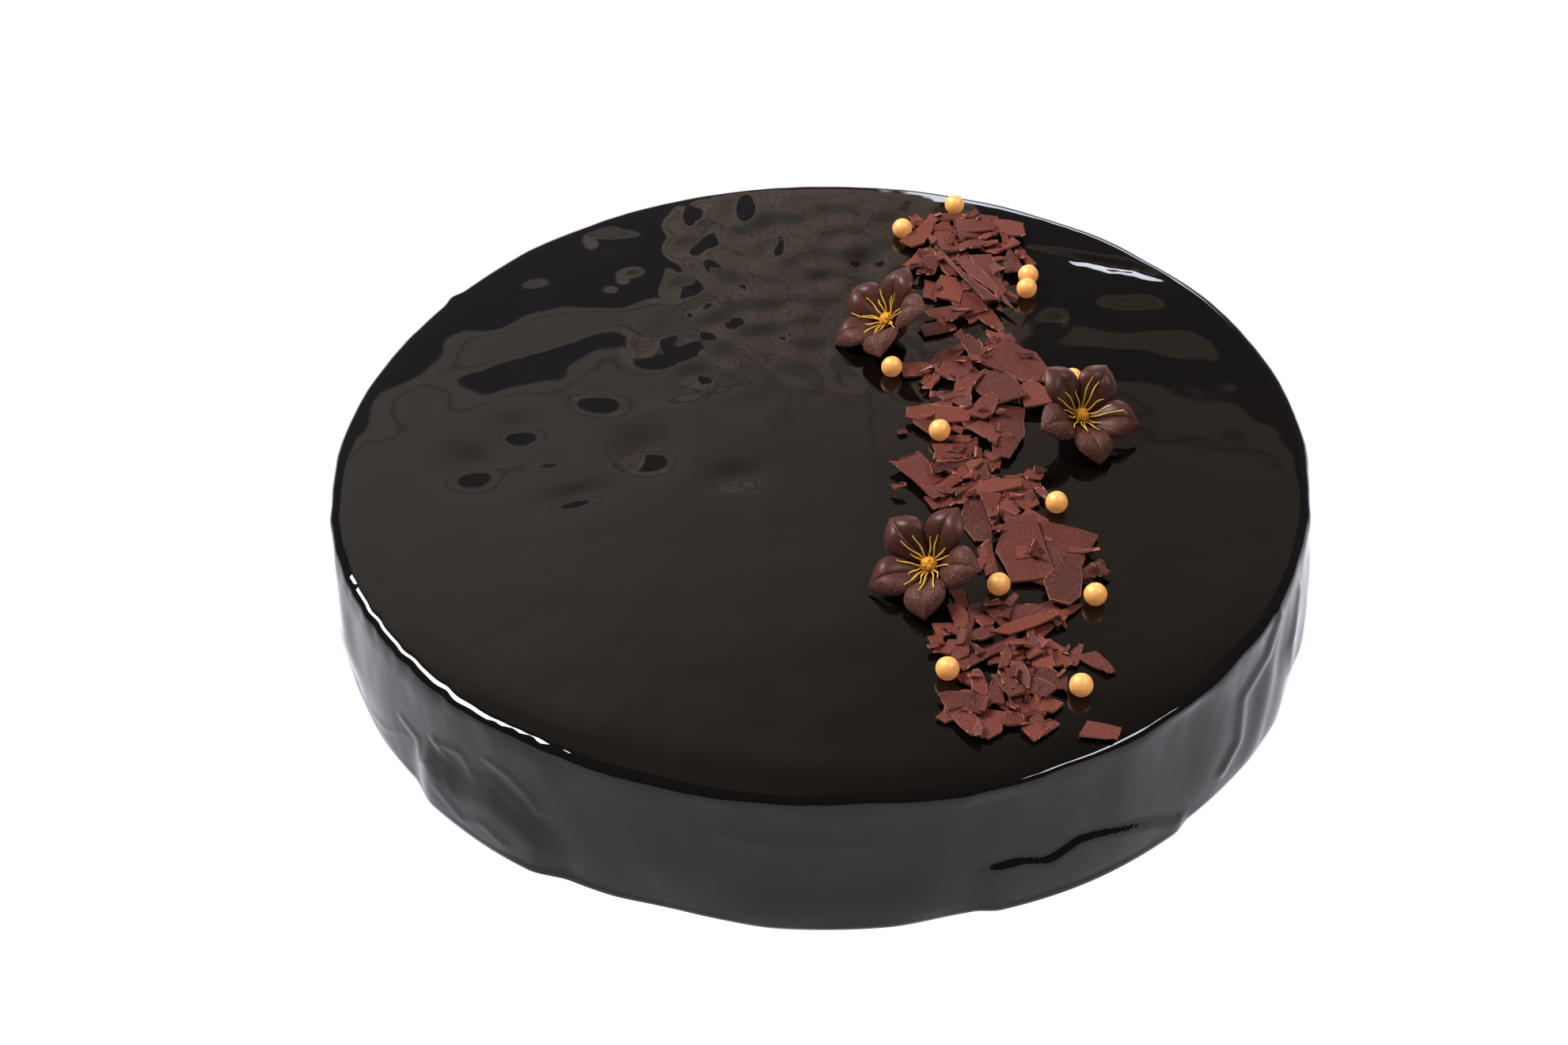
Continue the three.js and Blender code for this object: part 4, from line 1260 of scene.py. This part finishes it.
def yellow_sugar_paste():
    material, tree, shader, coordinates = new_material("yellow_sugar")
    noise = {"Scale": per_metre(SUGAR_GRAIN), "Detail": 2}
    grain = node(tree, "ShaderNodeTexNoise", noise, {"Vector": coordinates}).outputs["Fac"]
    colours = {"data_type": "RGBA", 6: linear("#c07c08"), 7: linear("#e0a01c")}
    head = node(tree, "ShaderNodeMix", colours, {0: grain}).outputs[2]
    pale = node(tree, "ShaderNodeAttribute", {"attribute_name": "pale"}).outputs["Fac"]
    tips = {"data_type": "RGBA", 7: linear("#ecc23e")}
    tone = node(tree, "ShaderNodeMix", tips, {0: pale, 6: head}).outputs[2]
    tree.links.new(tone, shader.inputs["Base Color"])
    shader.inputs["Roughness"].default_value = 0.6
    bump = node(tree, "ShaderNodeBump", {"Strength": 0.8, "Distance": 0.08 * MM}, {"Height": grain})
    tree.links.new(bump.outputs["Normal"], shader.inputs["Normal"])
    return material


sugar = yellow_sugar_paste()
print("material:", sugar.name)

# %% [markdown]
# ### Stamens
#
# Fifteen thin filaments curl out of a lumpy head. A filament starts as a rod, cut across into eight
# lengths so that it can bend. Then its vertices follow a curve: outwards, up, and a little aside,
# thinner towards the tip.

# %% Stamens
FILAMENTS = 15
FILAMENT_RADIUS = 0.23
HEAD_RADIUS = 2.05
HEAD_LEVEL = -THROAT_DEPTH + 2


def upright_rod():
    """A rod of one millimetre, with its upright edges cut into eight."""
    rod = start("filament", bpy.ops.mesh.primitive_cylinder_add, vertices=8, radius=1 * MM, depth=1 * MM)
    bpy.ops.object.mode_set(mode="EDIT")
    bpy.ops.mesh.select_all(action="DESELECT")
    bpy.ops.mesh.select_mode(type="EDGE")
    bpy.ops.object.mode_set(mode="OBJECT")
    for edge in rod.data.edges:
        a, b = (rod.data.vertices[k].co for k in edge.vertices)
        edge.select = abs(a.z - b.z) > 0.5 * MM
    bpy.ops.object.mode_set(mode="EDIT")
    bpy.ops.mesh.subdivide(number_cuts=7)
    bpy.ops.object.mode_set(mode="OBJECT")
    return rod


def filament(number, seed, draw):
    """One filament, from the head outwards."""
    direction = (number + 0.7 * (draw() - 0.5)) / FILAMENTS * 2 * math.pi
    length = 3.5 + 4 * draw()
    rise = (28 + 16 * draw()) * DEGREE
    rod = upright_rod()
    p = places(rod)
    t = p[:, 2] + 0.5
    thick = FILAMENT_RADIUS * (1 - 0.4 * t) * (1 + 0.2 * np.sin(9 * t + seed + number))
    bend = (draw() - 0.4) * 0.7
    out = HEAD_RADIUS * 0.8 + length * t
    up = np.tan(rise) * length * t * (1 - bend * t)
    side = (draw() - 0.5) * 2.6 * t**2 + 0.22 * np.sin(7 * t + 6 * draw())
    local = np.stack([out, side + p[:, 0] * thick, up + p[:, 1] * thick + HEAD_LEVEL], axis=1)
    move_to(rod, local @ np.array(Matrix.Rotation(direction, 3, "Z")).T)
    note(rod, "pale", ramp(0, 0.5, t))
    return rod


def stamens(name, seed):
    """The sugar head and its curved filaments, over the throat."""
    draw = random_stream(seed)
    head = start(name, bpy.ops.mesh.primitive_ico_sphere_add, subdivisions=4, radius=1 * MM)
    unit = places(head)
    lumps = 1 + 0.05 * ripples(unit, 0.5, 30 + seed) + 0.05 * ripples(unit, 0.25, 40 + seed)
    size = (HEAD_RADIUS, HEAD_RADIUS, HEAD_RADIUS * 0.9)
    move_to(head, unit * lumps[:, None] * size + (0, 0, HEAD_LEVEL))
    made = join([head] + [filament(i, seed, draw) for i in range(FILAMENTS)], name)
    smooth(made, 60)
    return made


# %% [markdown]
# ### Lay the flowers
#
# Each flower lies tilted on the glaze, with its far side raised, so that the eye looks into it: it is
# tilted, turned and then lowered until it just touches. The petals before its middle get the dust of bloom.


# %% Lay the flowers
def flower_pose(row):
    """The matrix that tilts and turns a flower at its place, in mm."""
    x, y, tilt, rising, turn = row
    pose = Matrix.Rotation(rising * DEGREE, 4, "Z") @ Matrix.Rotation(-tilt * DEGREE, 4, "Y")
    return np.array(Matrix.Translation((x, y, 0)) @ pose @ Matrix.Rotation(turn * DEGREE, 4, "Z"))


for number, row in enumerate(FLOWERS, 1):
    body = flower_body("moulded_flower_%d" % number)
    heart = stamens("stamens_%d" % number, number)
    pose = flower_pose(row)
    laid, laid_heart = (places(piece) @ pose[:3, :3].T + pose[:3, 3] for piece in (body, heart))
    lift = CAKE_HEIGHT + AIR - laid[:, 2].min()
    move_to(body, laid + (0, 0, lift))
    move_to(heart, laid_heart + (0, 0, lift))
    note(body, "frost", ramp(-0.1, 0.4, (row[1] - laid[:, 1]) / PETAL_REACH))
    outward(body)
    smooth(body)
    give(body, satin, "flower_chocolate", "flower_%d" % number)
    give(heart, sugar, "gold_pearl", "flower_%d" % number)
    print(body.name, len(body.data.polygons), "faces,", heart.name, len(heart.data.polygons))

# %% [markdown]
# ## The studio
#
# The mirror shows the studio, so the studio has to be there. The cake stands on a table lit so evenly
# that it is plain white in the picture. Lamps strong enough for that would wash out the glaze. So the
# table glows by itself, which makes it white from every side and lights the side of the cake from
# below, as a real white table does.


# %% Table
def white_table():
    material, tree, shader, _ = new_material("white_table")
    shader.inputs["Base Color"].default_value = (0.02, 0.02, 0.02, 1)
    shader.inputs["Roughness"].default_value = 0.9
    shader.inputs["Emission Color"].default_value = (1.06, 1.0, 1.11, 1)
    shader.inputs["Emission Strength"].default_value = 1.0
    return material


floor = start("table", bpy.ops.mesh.primitive_plane_add, size=14, location=(0, 0, -0.2 * MM))
settle_transform(floor)
floor.data.materials.append(white_table())
print("table:", floor.name)

# %% [markdown]
# ### Softboxes
#
# Two lamps hang high up on the left and the right of the cake, the left one further back. Their
# reflections are the bright lines along the rim, and they model the flowers and the flakes. A rectangular
# lamp gives a line with clear ends and soft shadows, and the left one is rolled so that its line follows the
# rim.


# %% Softboxes
def softbox(name, place, width, height, roll, power):
    """A rectangular lamp that looks at the cake, rolled about its axis. place is in mm."""
    bpy.ops.object.light_add(type="AREA", location=Vector(place) * MM)
    lamp = bpy.context.object
    lamp.name = lamp.data.name = name
    lamp.data.shape = "RECTANGLE"
    lamp.data.size, lamp.data.size_y = width * MM, height * MM
    lamp.data.energy = power
    lamp.data.color = (0.96, 0.98, 1)
    aim = Vector((0, 0, CAKE_HEIGHT)) - Vector(place)
    lamp.rotation_euler = (aim.to_track_quat("-Z", "Y") @ Quaternion((0, 0, 1), roll * DEGREE)).to_euler()
    lamp.visible_camera = False


softbox("softbox_left", (-800, 400, 1080), 240, 800, -40, 27)
softbox("softbox_right", (725, -90, 1120), 550, 170, 0, 6.5)

# %% [markdown]
# ### The room in the mirror
#
# Behind the cake two dark panels stand left and right of a bright strip of cloth with faint folds and
# cross seams. Round them is a warm grey wall that darkens to the right and to the ceiling, a bright
# window stands low at the back right, and the rest of the room is dim. Panels and cloth could be built
# of meshes, but they would stand in the way when the cake is seen from behind. So the room is painted
# on the world by direction: elevation over the table, and bearing from the back, positive to the right.
# Every edge is a smooth step between angles.

# %% Angles of the room
PANEL_LEFT, PANEL_RIGHT = -3.2, 6.2  # edges of the dark panels, as bearings in degrees
LEFT_TOP, RIGHT_TOP = 36.0, 36.5  # and the elevations of their tops
PANEL_LINE = 1.25  # how far a thin dark line runs outside the panels
CLOTH_TOP = (35, 39.5)  # elevations between which the cloth ends above
CLOTH_HALF_WIDTH = (5.2, 6)  # and distances from its middle where it ends aside
FOLD = 2.4  # distance between the folds of the cloth
CROSS_SEAM = 1.7  # and between its cross seams


def step_from(low, high, **more):
    """Settings of a smooth step between two angles in degrees."""
    ends = {"From Min": low * DEGREE, "From Max": high * DEGREE}
    return {"interpolation_type": "SMOOTHSTEP", **ends, **more}


def within(tree, edges):
    """1 inside all of these soft edges: each an angle, where it is out and where it is in, in degrees."""
    share = None
    for angle, outside, inside in edges:
        edge = step_from(outside, inside)
        step = node(tree, "ShaderNodeMapRange", edge, {"Value": angle}).outputs["Result"]
        if share is not None:
            step = node(tree, "ShaderNodeMath", {"operation": "MULTIPLY"}, {0: share, 1: step}).outputs[0]
        share = step
    return share


# %% Dark panels
def dark_panels(tree, elevation, bearing):
    """Whether a direction is on a panel, and how clear it is of the thin line round the panels."""
    left_edge = ({1: PANEL_LEFT * DEGREE}, {0: bearing})
    right_edge = ({0: PANEL_RIGHT * DEGREE}, {1: bearing})
    outside = {}
    for i, (top, (edge, links)) in enumerate(((LEFT_TOP, left_edge), (RIGHT_TOP, right_edge))):
        from_top = {"operation": "SUBTRACT", 1: top * DEGREE}
        over = node(tree, "ShaderNodeMath", from_top, {0: elevation}).outputs[0]
        beside = node(tree, "ShaderNodeMath", {"operation": "SUBTRACT", **edge}, links).outputs[0]
        farther = node(tree, "ShaderNodeMath", {"operation": "MAXIMUM"}, {0: over, 1: beside})
        outside[i] = farther.outputs[0]
    outside = node(tree, "ShaderNodeMath", {"operation": "MINIMUM"}, outside).outputs[0]
    panel = node(tree, "ShaderNodeMapRange", step_from(0.1, -0.1), {"Value": outside}).outputs["Result"]
    from_line = {"operation": "SUBTRACT", 1: PANEL_LINE * DEGREE}
    from_line = node(tree, "ShaderNodeMath", from_line, {0: outside}).outputs[0]
    from_line = node(tree, "ShaderNodeMath", {"operation": "ABSOLUTE"}, {0: from_line}).outputs[0]
    line = step_from(0, 0.22, **{"To Min": 0.58})
    return panel, node(tree, "ShaderNodeMapRange", line, {"Value": from_line}).outputs["Result"]


# %% Cloth
def creased_cloth(tree, elevation, bearing):
    """Whether a direction is off the cloth, and how clear it is of the creases in it."""
    fold, seam = FOLD / 2 * DEGREE, CROSS_SEAM / 2 * DEGREE
    fold = node(tree, "ShaderNodeMath", {"operation": "PINGPONG", 1: fold}, {0: bearing}).outputs[0]
    seam = node(tree, "ShaderNodeMath", {"operation": "PINGPONG", 1: seam}, {0: elevation}).outputs[0]
    crease = node(tree, "ShaderNodeMath", {"operation": "MINIMUM"}, {0: fold, 1: seam}).outputs[0]
    shadow = step_from(0, 0.16, **{"To Min": 0.5})
    uncreased = node(tree, "ShaderNodeMapRange", shadow, {"Value": crease}).outputs["Result"]

    middle = (PANEL_LEFT + PANEL_RIGHT) / 2 * DEGREE
    aside = node(tree, "ShaderNodeMath", {"operation": "SUBTRACT", 1: middle}, {0: bearing}).outputs[0]
    aside = node(tree, "ShaderNodeMath", {"operation": "ABSOLUTE"}, {0: aside}).outputs[0]
    above = node(tree, "ShaderNodeMapRange", step_from(*CLOTH_TOP), {"Value": elevation}).outputs["Result"]
    beyond = step_from(*CLOTH_HALF_WIDTH)
    beyond = node(tree, "ShaderNodeMapRange", beyond, {"Value": aside}).outputs["Result"]
    off_cloth = node(tree, "ShaderNodeMath", {"operation": "MAXIMUM"}, {0: above, 1: beyond}).outputs[0]
    smooth_wall = node(tree, "ShaderNodeMath", {"operation": "MAXIMUM"}, {0: uncreased, 1: off_cloth})
    return off_cloth, smooth_wall.outputs[0]


# %% The back of the room
WALL_AT_LEFT, WALL_AT_RIGHT = (0.74, 0.68, 0.63, 1), (0.37, 0.3, 0.245, 1)  # light of the wall
PANEL_AT_LEFT, PANEL_AT_RIGHT = (0.165, 0.165, 0.2, 1), (0.1, 0.091, 0.106, 1)  # and of the panels
CLOTH_OVER_WALL = (1.65, 1.45, 1.35)  # how much brighter the cloth is


def back_of_the_room(tree, elevation, bearing):
    """The wall with the cloth and the panels before it."""
    panel, clear_of_line = dark_panels(tree, elevation, bearing)
    off_cloth, clear_of_creases = creased_cloth(tree, elevation, bearing)
    clear = {0: clear_of_line, 1: clear_of_creases}
    clear = node(tree, "ShaderNodeMath", {"operation": "MULTIPLY"}, clear).outputs[0]
    # The wall and the panels are darker to the right, and the wall fades towards the ceiling.
    to_right = node(tree, "ShaderNodeMapRange", step_from(-9, 11), {"Value": bearing}).outputs["Result"]
    to_ceiling = step_from(39, 50, **{"To Min": 1, "To Max": 0.36})
    fade = node(tree, "ShaderNodeMapRange", to_ceiling, {"Value": elevation}).outputs["Result"]
    shade = node(tree, "ShaderNodeMath", {"operation": "MULTIPLY"}, {0: fade, 1: clear}).outputs[0]

    colours = {"data_type": "RGBA", 6: WALL_AT_LEFT, 7: WALL_AT_RIGHT}
    wall = node(tree, "ShaderNodeMix", colours, {0: to_right}).outputs[2]
    wall = node(tree, "ShaderNodeVectorMath", {"operation": "SCALE"}, {0: wall, "Scale": shade}).outputs[0]
    brighter = {"operation": "MULTIPLY", 1: CLOTH_OVER_WALL}
    cloth = node(tree, "ShaderNodeVectorMath", brighter, {0: wall}).outputs[0]
    wall = node(tree, "ShaderNodeMix", {"data_type": "RGBA"}, {0: off_cloth, 6: cloth, 7: wall}).outputs[2]
    colours = {"data_type": "RGBA", 6: PANEL_AT_LEFT, 7: PANEL_AT_RIGHT}
    dark = node(tree, "ShaderNodeMix", colours, {0: to_right}).outputs[2]
    return node(tree, "ShaderNodeMix", {"data_type": "RGBA"}, {0: panel, 6: wall, 7: dark}).outputs[2]


# %% The studio as a world
ROOM = (0.11, 0.11, 0.12, 1)  # light of the dim room
WINDOW = (6.5, 6.8, 7.6, 1)  # and of the window
ALL_LIGHT = 1.1  # strength of the world


def studio_world():
    """The light from every direction, by its elevation and its bearing from the back."""
    world = bpy.data.worlds.new("studio")
    bpy.context.scene.world = world
    world.use_nodes = True
    tree = world.node_tree
    tree.nodes.clear()
    direction = node(tree, "ShaderNodeTexCoord").outputs["Generated"]
    split = node(tree, "ShaderNodeSeparateXYZ", {}, {"Vector": direction}).outputs
    elevation = node(tree, "ShaderNodeMath", {"operation": "ARCSINE"}, {0: split["Z"]}).outputs[0]
    to_side = {0: split["X"], 1: split["Y"]}
    bearing = node(tree, "ShaderNodeMath", {"operation": "ARCTAN2"}, to_side).outputs[0]
    turned = node(tree, "ShaderNodeMath", {"operation": "ABSOLUTE"}, {0: bearing}).outputs[0]

    # The back of the room spans some 32 degrees to either side, over some 23 degrees of elevation.
    back = back_of_the_room(tree, elevation, bearing)
    seen = within(tree, [(turned, 36, 28), (elevation, 20, 26)])
    light = node(tree, "ShaderNodeMix", {"data_type": "RGBA", 6: ROOM}, {0: seen, 7: back}).outputs[2]
    # The window's top, left, right and bottom edges.
    sides = [(elevation, 24.4, 23.2), (bearing, 3, 4.5), (bearing, 22, 16), (elevation, 13, 14)]
    window = within(tree, sides)
    light = node(tree, "ShaderNodeMix", {"data_type": "RGBA", 7: WINDOW}, {0: window, 6: light}).outputs[2]
    background = node(tree, "ShaderNodeBackground", {"Strength": ALL_LIGHT}, {"Color": light}).outputs[0]
    node(tree, "ShaderNodeOutputWorld", {}, {"Surface": background})
    print("nodes of the studio:", len(tree.nodes))


studio_world()
bpy.context.scene.view_settings.view_transform = "Standard"  # shows each light as it is, and white as white
